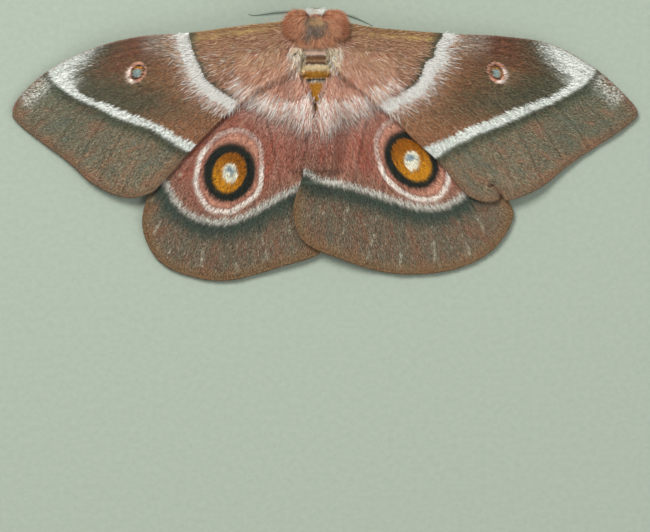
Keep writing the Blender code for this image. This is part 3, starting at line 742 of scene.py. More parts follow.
# %% Forewing colours
def forewing_material():
    material, s = new_material("forewing_scales", 0.8, 0.05)
    ante, post_in, post_out = s.attribute("lines").xyz()
    u, v, costa = s.attribute("spot").xyz()
    lie = Lie(s, 3.0, 0.18)
    luck, fine, jag, mix = lie.luck, lie.fine, lie.jag, lie.mix
    patchy = mix * 0.65 + lie.cloud * 0.35

    outer = lie.speckled(patchy.blend("474c3a", "8a775c"), OUTER_SPECKS)
    outer = outer.painted("4e5847", (costa + jag * 2.0).fall(9.0, 22.0) * 0.38)
    outer = lie.rayed(outer, "94624a", "55645a", 0.36)
    outer = outer.painted("93684a", (lie.rim + jag * 0.8).fall(0.2, 3.0) * 0.42)
    outer = outer.painted("3c4736", (post_out + jag).fall(0.2, 3.4) * 0.8)
    apex = (costa + jag * 1.6).fall(1.8, 4.6) * post_out.between(0.8, 7.2, 1.0) * costa.step(0.15, 0.5)
    outer = outer.painted("d3d6ca", apex * (fine + (luck - 0.5) * 0.3).step(0.44, 0.56) * 0.8)

    middle = lie.speckled(patchy.blend("41351f", "88694a"), DARK_SPECKS)
    warm = lie.speckled(mix.blend("7c4c2a", "a37b5c"), WARM_SPECKS)
    rusty = (costa + jag).step(11.0, 19.0)
    mossy = (post_in + jag * 2.5).step(-8.0, -1.0) * (1 - rusty)
    maroon = (costa + jag * 2.0).fall(2.0, 8.0) * ante.step(4.0, 9.0) * (1 - mossy)
    silver = (costa + jag * 2.0).fall(1.5, 6.0) * (ante + jag * 2.0).fall(6.0, 11.0)
    frost = (ante + jag * 2.0).fall(2.4, 7.0) * fine.step(0.45, 0.65)
    middle = lie.rayed(middle, "7a4a34", "46482f", 0.3).painted(warm, rusty * 0.85)
    middle = middle.painted(warm, (ante + jag * 2.0).fall(4.0, 11.0) * 0.6)
    middle = middle.painted("4b5140", mossy * 0.75).painted("69392b", maroon * 0.6)
    middle = middle.painted("a39d90", silver * fine.step(0.38, 0.58) * 0.85).painted("c3b5a3", frost * 0.75)

    base = (mix * 0.8 + lie.cloud * 0.2).blend("774e2e", "c9a284")
    base = base.painted(mix.blend("6b4a2a", "b58f5c"), (costa + jag).fall(0.5, 4.0) * 0.8)
    gold = (costa + jag * 0.3).between(1.0, 1.7, 0.35) * lie.r.fall(20.0, 25.0) * lie.r.step(4.0, 8.0)
    base = base.painted("c2a468", gold * 0.75)
    base = base.painted("484c3c", (ante + jag * 0.7).step(-2.3, -0.4) * 0.9)

    chalk = ante.step(-0.15, 0.2) * (ante + jag * 1.5).fall(1.5, 3.9)
    colour = base.painted(middle, ante.step(-0.15, 0.15)).painted("f8f8f1", chalk)
    wedge = costa.fall(3.0, 7.0) * (post_in + (fine - 0.5) * 9.0).step(-3.0, 0.9)
    band = (post_in + jag * 0.9).step(0.0, 0.45)
    white = band.maths("MAXIMUM", band, wedge * post_out.fall(-0.2, 0.2))
    colour = colour.painted(mix.blend("c3c9bd", "edf0e8"), white)
    colour = colour.painted(outer, (post_out + jag * 0.45).step(-0.15, 0.2))

    iris = (u + 0.10).oval(v + 0.22, 1.72, 2.3)
    black = u.oval(v, 1.16, 1.58)
    window = (u - 0.08).oval(v + 0.14, 0.74, 0.98)
    crescent = (iris + jag * 0.03).between(0.72, 1.0, 0.04) * (u * -0.6 - v).step(0.6, 1.3)
    colour = colour.painted("b57a60", (iris + jag * 0.03).fall(0.9, 1.02)).painted("efe9dc", crescent)
    colour = colour.painted("c99a84", (iris + jag * 0.03).between(0.86, 1.0, 0.04) * 0.7)
    colour = colour.painted("26231d", black.fall(0.92, 1.06)).painted("b3701f", black.fall(0.70, 0.80))
    colour = colour.painted("80908b", window.fall(0.88, 1.04))
    colour = colour.painted("8b6655", costa.fall(0.12, 0.45) * ante.step(0.0, 3.0) * 0.8)
    # Painted shade: a dark line along the crease of the right forewing, where the fold lies in shade.
    colour = colour.painted("4a2c20", (lie.crease_or_dot + jag * 0.3).fall(0.1, 0.55) * 0.8)
    finish(colour, fine + lie.streak * 0.5, WING_BUMP)
    return material


# %% Hindwing colours
def hindwing_material(name, disc_size, black_size):
    """The sizes are the half axes of the orange disc and of the black ring, in pixels."""
    material, s = new_material(name, 0.8, 0.05)
    ante, post, ring = s.attribute("lines").xyz()
    u, v, pupil = s.attribute("spot").xyz()
    lie = Lie(s, 7.0, 0.15)
    luck, fine, jag, mix, cloud = lie.luck, lie.fine, lie.jag, lie.mix, lie.cloud

    pink = lie.rayed((mix * 0.55 + cloud * 0.45).blend("7b4434", "ad7460"), "a04c38", "b58a76", 0.4)
    pink = pink.painted("8b6c58", post.step(-5.0, -1.0) * 0.6)
    base = mix.blend("a06c4a", "c9a386").painted("7c6a46", (ante + jag).step(-1.6, -0.2))
    veil = (ante + jag * 2.0).fall(2.0, 9.0) * ante.step(-0.2, 0.4)
    colour = base.painted(pink, ante.step(-0.2, 0.4))
    colour = colour.painted("ddcfc0", veil * fine.step(0.42, 0.62) * 0.8)

    outer = lie.speckled((mix * 0.6 + cloud * 0.4).blend("4c4434", "7d6a54"), REAR_SPECKS)
    outer = lie.rayed(outer, "84513a", "586052", 0.3)
    worn = lie.vein.fall(0.12, 0.42) * lie.noise(0.5, 0.3).step(0.46, 0.58) * post.step(2.5, 4.0)
    outer = outer.painted("bdb69c", worn * (luck + fine).step(0.7, 1.1) * 0.75)
    outer = outer.painted("8b6840", lie.rim.fall(0.2, 3.0) * 0.55)
    outer = outer.painted("36443a", (post + jag * 2.2).fall(1.6, 5.2) * 0.92)
    chalk = (post + jag * 1.3).between(-0.62, 0.3, 0.65)
    colour = colour.painted(outer, (post + jag * 1.1).step(-0.3, 0.9))
    colour = colour.painted("ccd4c8", chalk * (fine.step(0.35, 0.6) * 0.38 + 0.55))

    low_side = (v + u * 0.3).fall(-5.0, 0.0)
    halo = (ring + jag * 0.25 + low_side * 0.35).between(-0.3, 0.6, 0.2) * (1 - v.step(2.2, 4.2) * 0.6)
    blush = (mix * 0.6 + 0.2).blend("b06e56", "d9a78d")
    colour = colour.painted("e4d8ca", halo)
    colour = colour.painted(blush, (ring + jag * 0.25 + low_side * 0.5).fall(-0.85, -0.3))
    black, disc = (u.oval(v, *(axis * PIXEL for axis in size)) for size in (black_size, disc_size))
    amber = (v + u * 0.4 + jag * 1.2).step(-4.0, 3.5).blend("c48318", "925409")
    colour = colour.painted("7c4230", (black + jag * 0.06).fall(1.0, 1.14) * 0.45)
    colour = colour.painted("1d221b", (black + jag * 0.03).fall(0.90, 1.04))
    colour = colour.painted(amber, (disc + jag * 0.04).fall(0.94, 1.05))
    colour = colour.painted("e4e1c8", (pupil + jag * 0.3).fall(0.88, 1.12))
    colour = colour.painted("ded6b4", (lie.crease_or_dot + jag * 0.1).fall(0.2, 0.4) * 0.9)
    glint = (u + v * 0.3 - 0.2).oval(v - 0.5, 0.95, 0.72)
    colour = colour.painted("7d919a", (glint + jag * 0.15).fall(0.8, 1.0) * 0.92)
    finish(colour, fine + lie.streak * 0.5, WING_BUMP)
    return material


WING_MATERIALS = {
    "forewing_left": forewing_material(),
    "hindwing_left": hindwing_material("hindwing_scales_left", (16.2, 20.4), (26.3, 30.3)),
    "hindwing_right": hindwing_material("hindwing_scales_right", (16.4, 23.8), (24.9, 32.4)),
}
WING_MATERIALS["forewing_right"] = WING_MATERIALS["forewing_left"]
print("wing materials:", sorted({m.name for m in WING_MATERIALS.values()}))

# %% [markdown]
# A tuft is a thin closed sliver: a few three-sided sections that taper to a point. One function makes
# many of them at once from the middles of their sections. Each tuft keeps the fields of its root, and
# its map for baking is a small patch at the place of its root.

# %% Tufts
BAKE_PATCH = 0.003
TUFT_HEIGHT = 0.35


def tuft_piece(name, tufts, taper, material, along=()):
    """A coat of tufts, given as their stations, two directions, widths, fields and roots on the map.

    taper is each station's share of the width, 0 at the tip. along is its place from root to tip.
    """
    centres, across, normals, widths, fields, roots_uv = tufts
    count, stations, _ = centres.shape
    rings = []
    for k in range(stations - 1):
        half = (widths * taper[k] / 2)[:, None]
        ways = (-across * half, across * half, normals * half * 2 * TUFT_HEIGHT)
        rings += [centres[:, k] + way for way in ways]
    rings.append(centres[:, -1])
    points = np.stack(rings, axis=1)
    each = points.shape[1]
    pattern = [(0, 1, 2)]
    for k in range(stations - 2):
        for i in range(3):
            a, b = 3 * k + i, 3 * k + (i + 1) % 3
            pattern += [(a, a + 3, b + 3), (a, b + 3, b)]
    last = 3 * (stations - 2)
    pattern += [(last + i, each - 1, last + (i + 1) % 3) for i in range(3)]
    triangles = ((np.arange(count) * each)[:, None, None] + np.array(pattern)).reshape(-1, 3)
    full = {key: np.repeat(values, each, axis=0) for key, values in fields.items()}
    if along:
        full["hair"][:, 0] = np.tile(np.append(np.repeat(along[:-1], 3), along[-1]), count)
    obj = make_piece(name, points.reshape(-1, 3), triangles, material, full)
    spread = [(dx, k / (stations - 1)) for k in range(stations - 1) for dx in (-0.5, 0.5, 0.0)]
    spread = np.array(spread + [(0.0, 1.0)]) * BAKE_PATCH
    uv = (roots_uv[:, None, :] + spread[None]).reshape(-1, 2)
    layer = obj.data.uv_layers.new(name="OFBake")
    layer.data.foreach_set("uv", uv[triangles.ravel()].astype(np.float32).ravel())
    return obj


def on_surface(ways, normals):
    """Each way turned into the surface there."""
    return unit(ways - normals * (ways * normals).sum(axis=1, keepdims=True))


def spread_uv(places):
    """The places of a wing, which is nearly flat, laid out in the unit square."""
    low, high = places.min(axis=0), places.max(axis=0)
    return 0.01 + 0.975 * (places - low) / (high - low).max()


# %% [markdown]
# The scales of a wing lie like roof tiles, pointing away from the root. They start on a jittered field
# so that they cover evenly, and a fringe of them stands out past the margin.

# %% Scales on the wings
SCALE_SEED = 100
SCALE_STEP = 0.18
SCALE_LENGTH = (0.6, 1.25)
SCALE_WIDTH = (0.10, 0.18)
SCALE_LIFT = (0.03, 0.16)
SCALE_TURN = 0.16
SCALE_RING_STEP = 0.5
SCALE_CLEARANCE = 0.12
ROOT_DEPTH = 0.03
SHORTER_OUTSIDE = 0.32
MARGIN_REACH = 0.3
FRINGE_STEP = 0.07
FRINGE_INSET = 0.4
FRINGE_LENGTH = (0.35, 0.7)
FRINGE_WIDTH = 0.11


def scale_coat(name, material, seed):
    draw = np.random.default_rng(seed)
    places = even_field(wing_ring(name, SCALE_RING_STEP), SCALE_STEP * 1.1, SCALE_CLEARANCE)
    places = places + draw.uniform(-0.5, 0.5, places.shape) * SCALE_STEP
    outward = unit(places - wing_root(name))
    turn = draw.normal(0.0, SCALE_TURN, len(places))[:, None]
    lie = outward * np.cos(turn) + columns(-outward[:, 1], outward[:, 0]) * np.sin(turn)
    lengths = draw.uniform(*SCALE_LENGTH, len(places))
    widths = draw.uniform(*SCALE_WIDTH, len(places))
    count = len(places)

    edge = wing_ring(name, FRINGE_STEP)
    ahead = unit(np.roll(edge, -1, axis=0) - np.roll(edge, 1, axis=0))
    out = columns(ahead[:, 1], -ahead[:, 0]) * -wing_side(name)
    fringe_lie = unit(out + 0.5 * unit(edge - wing_root(name)) + draw.normal(0, 0.12, edge.shape))
    places = np.vstack((places, edge - out * FRINGE_INSET))
    fields = wing_fields(name, places)
    beyond = fields["lines"][:count, 2 if is_forewing(name) else 1]
    lengths = lengths * (1 - SHORTER_OUTSIDE * smooth_step(0.0, 1.5, beyond))
    lengths = np.minimum(lengths, fields["place"][:count, 2] + MARGIN_REACH)
    lengths = np.concatenate((lengths, draw.uniform(*FRINGE_LENGTH, len(edge))))
    widths = np.concatenate((widths, np.full(len(edge), FRINGE_WIDTH)))

    normals = wing_normals(name, places)
    along = on_surface(columns(np.vstack((lie, fringe_lie)), 0.0), normals)
    roots = columns(places, wing_height(name, places) + THICKNESS / 2 - ROOT_DEPTH)
    rise = draw.uniform(*SCALE_LIFT, len(places)) * np.minimum(lengths / SCALE_LENGTH[0], 1.0)
    tips = roots + along * lengths[:, None] + normals * rise[:, None]
    centres = np.stack((roots, tips), axis=1)
    fields["grain"][:, 1] = draw.uniform(0, 1, len(places))
    tufts = (centres, np.cross(along, normals), normals, widths, fields, spread_uv(places))
    return tuft_piece(name + "_scales", tufts, (1.0, 0.0), material)


for seed, wing in enumerate(OUTLINES):
    sheet = membrane(wing, WING_MATERIALS[wing])
    coat = scale_coat(wing, WING_MATERIALS[wing], SCALE_SEED + seed)
    for piece in (sheet, coat):
        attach(piece, "root")
        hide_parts(wing)

# %% [markdown]
# The body has one skin: rings along the thorax and the abdomen, a round head, shoulders at the wing
# roots and six jointed legs, joined and smoothed. It lies inside the solids by the depth of the coat.

# %% The shapes under the skin
THORAX_RINGS = (
    (5.0, 7.0, 1.5, 1.6),
    (4.3, 6.7, 3.0, 2.9),
    (3.1, 6.4, 4.1, 4.0),
    (1.5, 6.3, 4.6, 4.5),
    (-0.5, 6.2, 4.6, 4.5),
    (-2.5, 6.1, 4.3, 4.1),
    (-4.6, 5.8, 3.9, 3.6),
)
HEAD_CENTRE = (0.0, 4.3, 4.1)
HEAD_RADII = (2.0, 1.5, 1.8)
EYE_CENTRE = (1.75, 4.75, 4.2)
EYE_RADIUS = 1.05
WAIST_CENTRE = (0.0, -4.8, 5.8)
WAIST_RADII = (3.3, 3.7, 3.45)
SHOULDER_CENTRE = (3.0, 2.3, 9.0)
SHOULDER_RADII = (2.1, 2.4, 1.4)
PALP_PATH = ((0.6, 4.9, 3.2), (0.75, 5.6, 2.4), (0.7, 5.9, 1.7))
PALP_RADII = (0.42, 0.36, 0.16)
LEG_PATHS = {
    "fore_leg": ((1.9, 2.6, 3.4), (5.2, 3.0, 3.3), (6.7, 1.9, 0.7), (7.6, 1.2, 0.32), (8.7, 0.4, 0.28)),
    "mid_leg": ((2.2, -0.2, 3.2), (6.2, -0.5, 3.2), (8.2, -2.6, 0.7), (9.2, -3.6, 0.32), (10.3, -4.8, 0.28)),
    "hind_leg": ((2.0, -2.6, 3.2), (5.8, -4.4, 3.0), (7.5, -7.8, 0.7), (8.1, -9.2, 0.32), (8.8, -10.8, 0.28)),
}
LEG_RADII = (0.72, 0.58, 0.40, 0.32, 0.2)
COAT_DEPTH = 0.35
THORAX_INSET = 0.1
SKIN_VOXEL = 0.17
RING_SIDES = 32
FLOOR_CLEARANCE = 0.02
# The skin counts as a hair near its root: it takes the hairs' colours and much of their painted shade at the
# roots.
SKIN_AS_HAIR = (0.15, 0.5, 0.0)


def tube(path, half_widths, half_heights, sides=RING_SIDES):
    """A closed tube of oval rings round a path that runs anyhow."""
    path = np.array(path, float)
    ahead = unit(np.gradient(path, axis=0))
    across = np.cross(ahead, (0.0, 0.0, 1.0))
    weak = np.linalg.norm(across, axis=1) < 0.2
    across[weak] = np.cross(ahead[weak], (0.0, 1.0, 0.0))
    across = unit(across)
    up = np.cross(across, ahead)
    angle = np.linspace(0, 2 * math.pi, sides, endpoint=False)
    wide = across[:, None] * np.array(half_widths)[:, None, None] * np.cos(angle)[None, :, None]
    high = up[:, None] * np.array(half_heights)[:, None, None] * np.sin(angle)[None, :, None]
    rings = (path[:, None] + wide + high).reshape(-1, 3)
    triangles = []
    for k in range(len(path) - 1):
        for i in range(sides):
            a, b = k * sides + i, k * sides + (i + 1) % sides
            triangles += [(a, b, b + sides), (a, b + sides, a + sides)]
    ends, last = len(rings), len(rings) - sides
    for i in range(sides):
        j = (i + 1) % sides
        triangles += [(ends, j, i), (ends + 1, last + i, last + j)]
    return np.vstack((rings, path[:1], path[-1:])), np.array(triangles)


def lofted(rings, inset):
    """A tube along y whose rings are smoothed between the given ones."""
    y, z, wide, high = smooth_curve(rings, 0.5).T
    return tube(columns(0.0, y, z), np.maximum(wide - inset, 0.15), np.maximum(high - inset, 0.15))


def ellipsoid(centre, radii):
    t = np.linspace(0.02, math.pi - 0.02, 20)
    points, triangles = tube(columns(0.0, -np.cos(t), 0.0), np.sin(t), np.sin(t))
    return points * radii + centre, triangles


def mirrored(shape):
    points, triangles = shape
    return points * (-1, 1, 1), triangles[:, ::-1]


def body_shapes():
    shapes = [
        lofted(THORAX_RINGS, THORAX_INSET),
        lofted(ABDOMEN_RINGS, COAT_DEPTH),
        ellipsoid(HEAD_CENTRE, HEAD_RADII),
        ellipsoid(WAIST_CENTRE, WAIST_RADII),
    ]
    paired = [ellipsoid(SHOULDER_CENTRE, SHOULDER_RADII), tube(PALP_PATH, PALP_RADII, PALP_RADII, 12)]
    for path in LEG_PATHS.values():
        line = smooth_curve([(*p, r) for p, r in zip(path, LEG_RADII)], 0.3)
        paired.append(tube(line[:, :3], line[:, 3], line[:, 3], 16))
    return shapes + paired + [mirrored(shape) for shape in paired]


def joined(shapes):
    points, triangles, start = [], [], 0
    for shape_points, shape_triangles in shapes:
        points.append(shape_points)
        triangles.append(shape_triangles + start)
        start += len(shape_points)
    return np.vstack(points), np.vstack(triangles)


def mesh_places(mesh):
    """The points of a mesh as places in the moth's frame."""
    values = np.empty(3 * len(mesh.vertices), np.float32)
    mesh.vertices.foreach_get("co", values)
    return values.reshape(-1, 3).astype(float) / MM - SHIFT


def evaluated_mesh(obj):
    """The mesh that an object's modifiers make. The object itself goes."""
    graph = bpy.context.evaluated_depsgraph_get()
    mesh = bpy.data.meshes.new_from_object(obj.evaluated_get(graph))
    bpy.data.objects.remove(obj)
    return mesh


def body_skin(material):
    """The shapes joined by a fine remesh, smoothed, and flat where they meet the floor."""
    rough = make_piece("body_shapes", *joined(body_shapes()), material)
    remesh = rough.modifiers.new("join", "REMESH")
    remesh.mode = "VOXEL"
    remesh.voxel_size = SKIN_VOXEL * MM
    smooth = rough.modifiers.new("soften", "SMOOTH")
    smooth.iterations = 4
    mesh = evaluated_mesh(rough)
    mesh.name = "body_skin"
    places = mesh_places(mesh)
    places[:, 2] = np.maximum(places[:, 2], FLOOR_CLEARANCE)
    set_points(mesh, places)
    mesh.update()
    mesh.shade_smooth()
    add_fields(mesh, {"place": places, "hair": np.tile(SKIN_AS_HAIR, (len(places), 1))})
    mesh.materials.clear()
    mesh.materials.append(material)
    print("body_skin", len(mesh.vertices), "points", len(mesh.polygons), "faces")
    return linked("body_skin", mesh)


# %% [markdown]
# The body's colours go by place: two rust lobes with a grey patch between them, a white collar, then
# the bands of the abdomen. The skin and every hair use the same rules, with the place of the root.

# %% Body colours
def body_material(name):
    material, s = new_material(name, 0.7, 0.06)
    x, y, z = s.attribute("place").xyz()
    tip, luck, kind = s.attribute("hair").xyz()
    place = s.vector(x, y, z)
    side = x.maths("ABSOLUTE", x)
    patchy = s.noise(place, 0.8, 3.0)
    fine = s.noise(place, 5.0)
    jag = (fine - 0.5) * 0.6 + (luck - 0.5) * 0.35
    mix = luck * 0.7 + patchy * 0.5 - 0.1
    upper = z.step(5.0, 6.5)
    middle = (side + jag).fall(1.7, 2.3)
    wide = (side + jag).fall(2.6, 3.4) * upper
    top = middle * upper

    def band(back, front, soft, ragged):
        """A band across the body, between two places along it."""
        return (y + jag * ragged).between(back, front, soft)

    rust = mix.blend("9b5030", "e5a478")
    rust = rust.painted("e4b492", tip.step(0.3, 1.0) * (patchy + luck * 0.4).step(0.35, 0.85) * 0.7)
    # Painted shade: deeper rust down the sides of the thorax, where they curve away from the light.
    rust = rust.painted("ae5229", side.step(3.0, 4.6) * 0.4)
    centre = (x + 0.2).oval(y - 2.2, 1.9, 2.1) + (patchy - 0.5) * 2.6 + jag * 1.6
    colour = rust.painted(mix.blend("3f3c34", "9a9386"), centre.fall(0.7, 1.05) * z.step(7.5, 8.5) * 0.85)
    crown = band(2.5, 3.6, 0.3, 1.0) * (side + jag).fall(0.4, 1.5) * z.step(7.0, 8.0)
    colour = colour.painted("d3ab78", crown * 0.85)

    colour = colour.painted(mix.blend("8c5f45", "caa68c"), z.fall(5.5, 7.5) * y.fall(-2.5, -1.0))
    colour = colour.painted(mix.blend("d0a286", "fae4ce"), (y + jag * 0.5).fall(-1.5, -1.1) * upper)
    # Painted shade: a dark line across the middle of the back, under the rear edge of the thorax's hair.
    colour = colour.painted("3c2c22", band(-1.65, -1.4, 0.08, 0.4) * middle * 0.8)
    colour = colour.painted(mix.blend("4a2f1f", "a0704a"), band(-5.1, -3.5, 0.12, 0.4) * top)
    colour = colour.painted("d3ab84", band(-4.6, -4.4, 0.06, 0.2) * top * 0.8)
    edges = band(-5.15, -4.85, 0.08, 0.3) + band(-3.65, -3.45, 0.08, 0.3)
    colour = colour.painted("251a14", edges * top * 0.8)
    flank = side.between(1.9, 4.9, 0.3) * band(-6.4, -2.1, 0.3, 1.0) * upper
    colour = colour.painted("dcc9a4", flank * 0.9)
    colour = colour.painted("2f2b25", flank * (s.noise(place, 1.7) + jag * 0.2).step(0.56, 0.62))
    amber = mix.blend("9a5a0e", "e6a636")
    colour = colour.painted("ecd5a6", band(-6.25, -5.2, 0.15, 0.5) * wide)
    colour = colour.painted(amber, band(-7.8, -6.2, 0.12, 0.5) * wide)
    colour = colour.painted("d8ccb8", band(-8.75, -7.7, 0.05, 0.1) * top)
    lines = band(-8.75, -8.42, 0.04, 0.1) + band(-8.16, -7.74, 0.04, 0.1)
    colour = colour.painted("14130f", lines * top)
    wedge = (side + y * -0.12 + jag * 0.5).fall(2.1, 2.4) * y.fall(-8.5, -8.3)
    colour = colour.painted(amber, wedge * upper)

    colour = colour.painted(mix.blend("6b3a26", "a87455"), z.fall(5.6, 6.4) * y.step(2.6, 3.4))
    collar = (y + jag).step(3.5, 4.0) * z.step(4.9, 5.6) * (side + jag).fall(2.0, 2.7)
    colour = colour.painted("f6f8ee", collar * z.fall(7.9, 8.4))
    colour = colour.painted(mix.blend("5d3526", "9c6a4c"), side.step(4.7, 5.4))

    strand = mix * 1.2 - 0.1 + tip * 0.15
    rosy = (side + jag).fall(7.0, 10.5) * (y + jag).fall(-8.5, -5.5)
    olive = side.step(4.5, 8.0) * (y + side * 0.12).step(-6.0, -2.0)
    olive = olive * (patchy - 0.1 + luck * 0.2).step(0.38, 0.56)
    silk = strand.blend("8d5135", "e3b394").painted(strand.blend("9c5238", "eab79c"), rosy * 0.85)
    silk = silk.painted(strand.blend("75653a", "b99a5e"), olive * 0.4)
    silk = silk.painted("f8f8f0", (kind + jag * 0.5).step(0.4, 0.85) * 0.94)
    silk = silk.painted("f8f7f0", tip.step(0.3, 1.0) * (kind + jag).step(0.2, 0.6) * 0.6)
    # Painted shade: each hair, and the skin between them, is darker near its root, where the hairs shade one
    # another.
    colour = colour.painted(silk, kind.step(0.01, 0.03)).painted("1c120d", tip.fall(0.0, 0.4) * 0.18)
    finish(colour, fine, 0.00008)
    return material


BODY_MATERIAL = body_material("body_hair")
skin = body_skin(BODY_MATERIAL)
LEGS = [f"{leg}_{side}" for leg in LEG_PATHS for side in ("left", "right")]
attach(skin, "root")
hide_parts("head", "thorax", "abdomen", *LEGS)

# %% [markdown]
# Hair grows from places spread evenly over the skin. Its lie is a flow over the body: back and out
# from the collar, down the legs, and from the middle of the face. Hair is long on the thorax, short
# on the bands and shortest on the face and the feet.

# %% The coat of the body
HAIR_STATIONS = (0.0, 0.35, 0.7, 1.0)
HAIR_TAPER = (1.0, 0.85, 0.5, 0.0)
DENSITY = {"below": 11.0, "top": 62.0, "face": 90.0, "collar": 130.0, "legs": 36.0}
ABOVE_FLOOR = 0.06
BODY_SEED = 41
HAIR_LIFT = (0.10, 0.42)
HAIR_WIDTH = 0.036
WIDTH_BY_LENGTH = 0.032
LONGEST_FOR_WIDTH = 2.2
UNWRAP_ANGLE = math.radians(66)


def unwrapped(skin):
    """The skin's own unwrap, as the places of the corners of its triangles."""
    bpy.context.view_layer.objects.active = skin
    skin.select_set(True)
    bpy.ops.object.mode_set(mode="EDIT")
    bpy.ops.mesh.select_all(action="SELECT")
    bpy.ops.uv.smart_project(angle_limit=UNWRAP_ANGLE, island_margin=0.005)
    bpy.ops.object.mode_set(mode="OBJECT")
    mesh = skin.data
    mesh.calc_loop_triangles()
    corners = np.array([t.loops for t in mesh.loop_triangles])
    points = np.array([t.vertices for t in mesh.loop_triangles])
    uv = np.empty(2 * len(mesh.loops), np.float32)
    mesh.uv_layers.active.data.foreach_get("uv", uv)
    return points, uv.reshape(-1, 2)[corners]


def skin_roots(skin, density, seed):
    """Roots on the skin: density is tufts to a square millimetre for each triangle's middle."""
    draw = np.random.default_rng(seed)
    points, uv = unwrapped(skin)
    corners = mesh_places(skin.data)[points]
    cross = np.cross(corners[:, 1] - corners[:, 0], corners[:, 2] - corners[:, 0])
    area = np.linalg.norm(cross, axis=1) / 2
    expected = area * density(corners.mean(axis=1), unit(cross))
    number = np.floor(expected + draw.uniform(0, 1, len(expected))).astype(int)
    chosen = np.repeat(np.arange(len(number)), number)
    share = draw.uniform(0, 1, (len(chosen), 2))
    share = np.where(share.sum(axis=1, keepdims=True) > 1, 1 - share, share)
    weights = columns(1 - share.sum(axis=1), share)[:, :, None]
    roots, roots_uv = ((values[chosen] * weights).sum(axis=1) for values in (corners, uv))
    return roots, unit(cross)[chosen], roots_uv, draw


def leg_share(places):
    """1 on the legs, 0 on the body."""
    return smooth_step(4.3, 5.2, np.abs(places[:, 0])) * (1 - smooth_step(4.6, 5.4, places[:, 2]))


def on_collar(places):
    x, y, z = places.T
    return (y > 3.9) & (z > 6.0) & (np.abs(x) < 2.7)


def body_density(places, normals):
    """More hair where it shows, none beneath the belly."""
    _, y, z = places.T
    top = smooth_step(6.0, 8.0, z)
    density = DENSITY["below"] + DENSITY["top"] * top * (y > -13.5)
    density = np.where((y > 2.8) & (z < 7.5), DENSITY["face"], density)
    density = np.where(on_collar(places), DENSITY["collar"], density)
    density = np.where(leg_share(places) > 0.5, DENSITY["legs"], density)
    return np.where(normals[:, 2] < -0.97, 0.0, density)


def body_lengths(places):
    """Long on the thorax, short on the bands, the face and the legs."""
    x, y, z = places.T
    side = np.abs(x)
    length = 1.9 + 0.5 * smooth_step(2.0, 4.5, side)
    bare = (1 - smooth_step(-2.7, -0.7, y)) * (1 - smooth_step(2.2, 4.2, side))
    length = length + (0.55 - length) * bare
    length = np.where(y < -5.0, np.where(z > 5.0, 0.75, 1.3), length)
    length = np.where((z < 5.6) & (y > 2.6), 0.6, length)
    length = np.where(on_collar(places), 1.15, length)
    legs = leg_share(places)
    length = length + (0.30 + 0.16 * z - length) * legs
    return np.minimum(length, 0.45 + 0.55 * z)


def body_lie(places):
    """Back over the body, up on the collar, out over the face and down the legs."""
    x, y, z = places.T
    back = columns(0.32 * x, -1.0, -0.12)
    front = columns(0.5 * x, -0.4, 0.5 * (z - 6.6))
    front = np.where(on_collar(places)[:, None], columns(0.22 * x, 0.55, 0.8), front)
    front = np.where((z < 6.2)[:, None], columns(x, 0.0, z - 4.6), front)
    down = columns(np.sign(x) * 0.7, -0.5, -0.6)
    share = smooth_step(2.4, 4.6, y)[:, None]
    legs = leg_share(places)[:, None]
    return unit((back * (1 - share) + front * share) * (1 - legs) + down * legs)


def body_coat(skin):
    roots, normals, roots_uv, draw = skin_roots(skin, body_density, BODY_SEED)
    count = len(roots)
    lie = on_surface(body_lie(roots) + draw.normal(0, 0.13, (count, 3)), normals)
    lengths = body_lengths(roots) * draw.uniform(0.7, 1.15, count)
    lift = draw.uniform(*HAIR_LIFT, count) * lengths
    across = unit(np.cross(lie, normals))
    bend = draw.normal(0, 0.10, count) * lengths
    t = np.array(HAIR_STATIONS)[None, :, None]
    centres = roots[:, None] + lie[:, None] * lengths[:, None, None] * t
    centres = centres + normals[:, None] * (lift[:, None, None] * t * (1.35 - 0.75 * t))
    centres = centres + across[:, None] * bend[:, None, None] * t * t
    centres[:, :, 2] = np.maximum(centres[:, :, 2], ABOVE_FLOOR)
    widths = HAIR_WIDTH + WIDTH_BY_LENGTH * np.minimum(lengths, LONGEST_FOR_WIDTH)
    fields = {"place": roots, "hair": columns(0.0, draw.uniform(0, 1, count), 0.0)}
    return centres, across, normals, widths, fields, roots_uv


def hair_piece(name, tufts, chosen=slice(None)):
    """One piece of a coat: all of its tufts, or the chosen ones."""
    centres, across, normals, widths, fields, roots_uv = tufts
    fields = {key: values[chosen] for key, values in fields.items()}
    picked = [values[chosen] for values in (centres, across, normals, widths)]
    tufts = (*picked, fields, roots_uv[chosen])
    obj = tuft_piece(name, tufts, HAIR_TAPER, BODY_MATERIAL, HAIR_STATIONS)
    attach(obj, "root")
    return obj


coat = body_coat(skin)
coat_roots = coat[4]["place"]
root_x, root_y, root_z = coat_roots.T
on_legs = leg_share(coat_roots) > 0.5
on_head = ~on_legs & (((root_y > 3.0) & (root_z < 7.0)) | on_collar(coat_roots))
on_thorax = ~on_legs & ~on_head & (root_y > ABDOMEN_FRONT)
for name, chosen, slot, nodes in (
    ("head_coat", on_head, "thorax_hair", ("head",)),
    ("thorax_coat_left", on_thorax & (root_x < 0), "thorax_hair", ("thorax",)),
    ("thorax_coat_right", on_thorax & (root_x >= 0), "thorax_hair", ("thorax",)),
    ("abdomen_coat", ~on_legs & (root_y <= ABDOMEN_FRONT), "abdomen_hair", ("abdomen",)),
    ("leg_coat", on_legs, "leg_hair", LEGS),
):
    piece = hair_piece(name, coat, chosen)
    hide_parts(*nodes)

# %% [markdown]
# Long silky hair streams over the roots of the wings. It follows the surface that it lies on: each
# hair is walked over the top of the wings in steps, kept a little above them. Near the midline it is
# parted; beyond the forewings' edges it is pale, like a fringe.

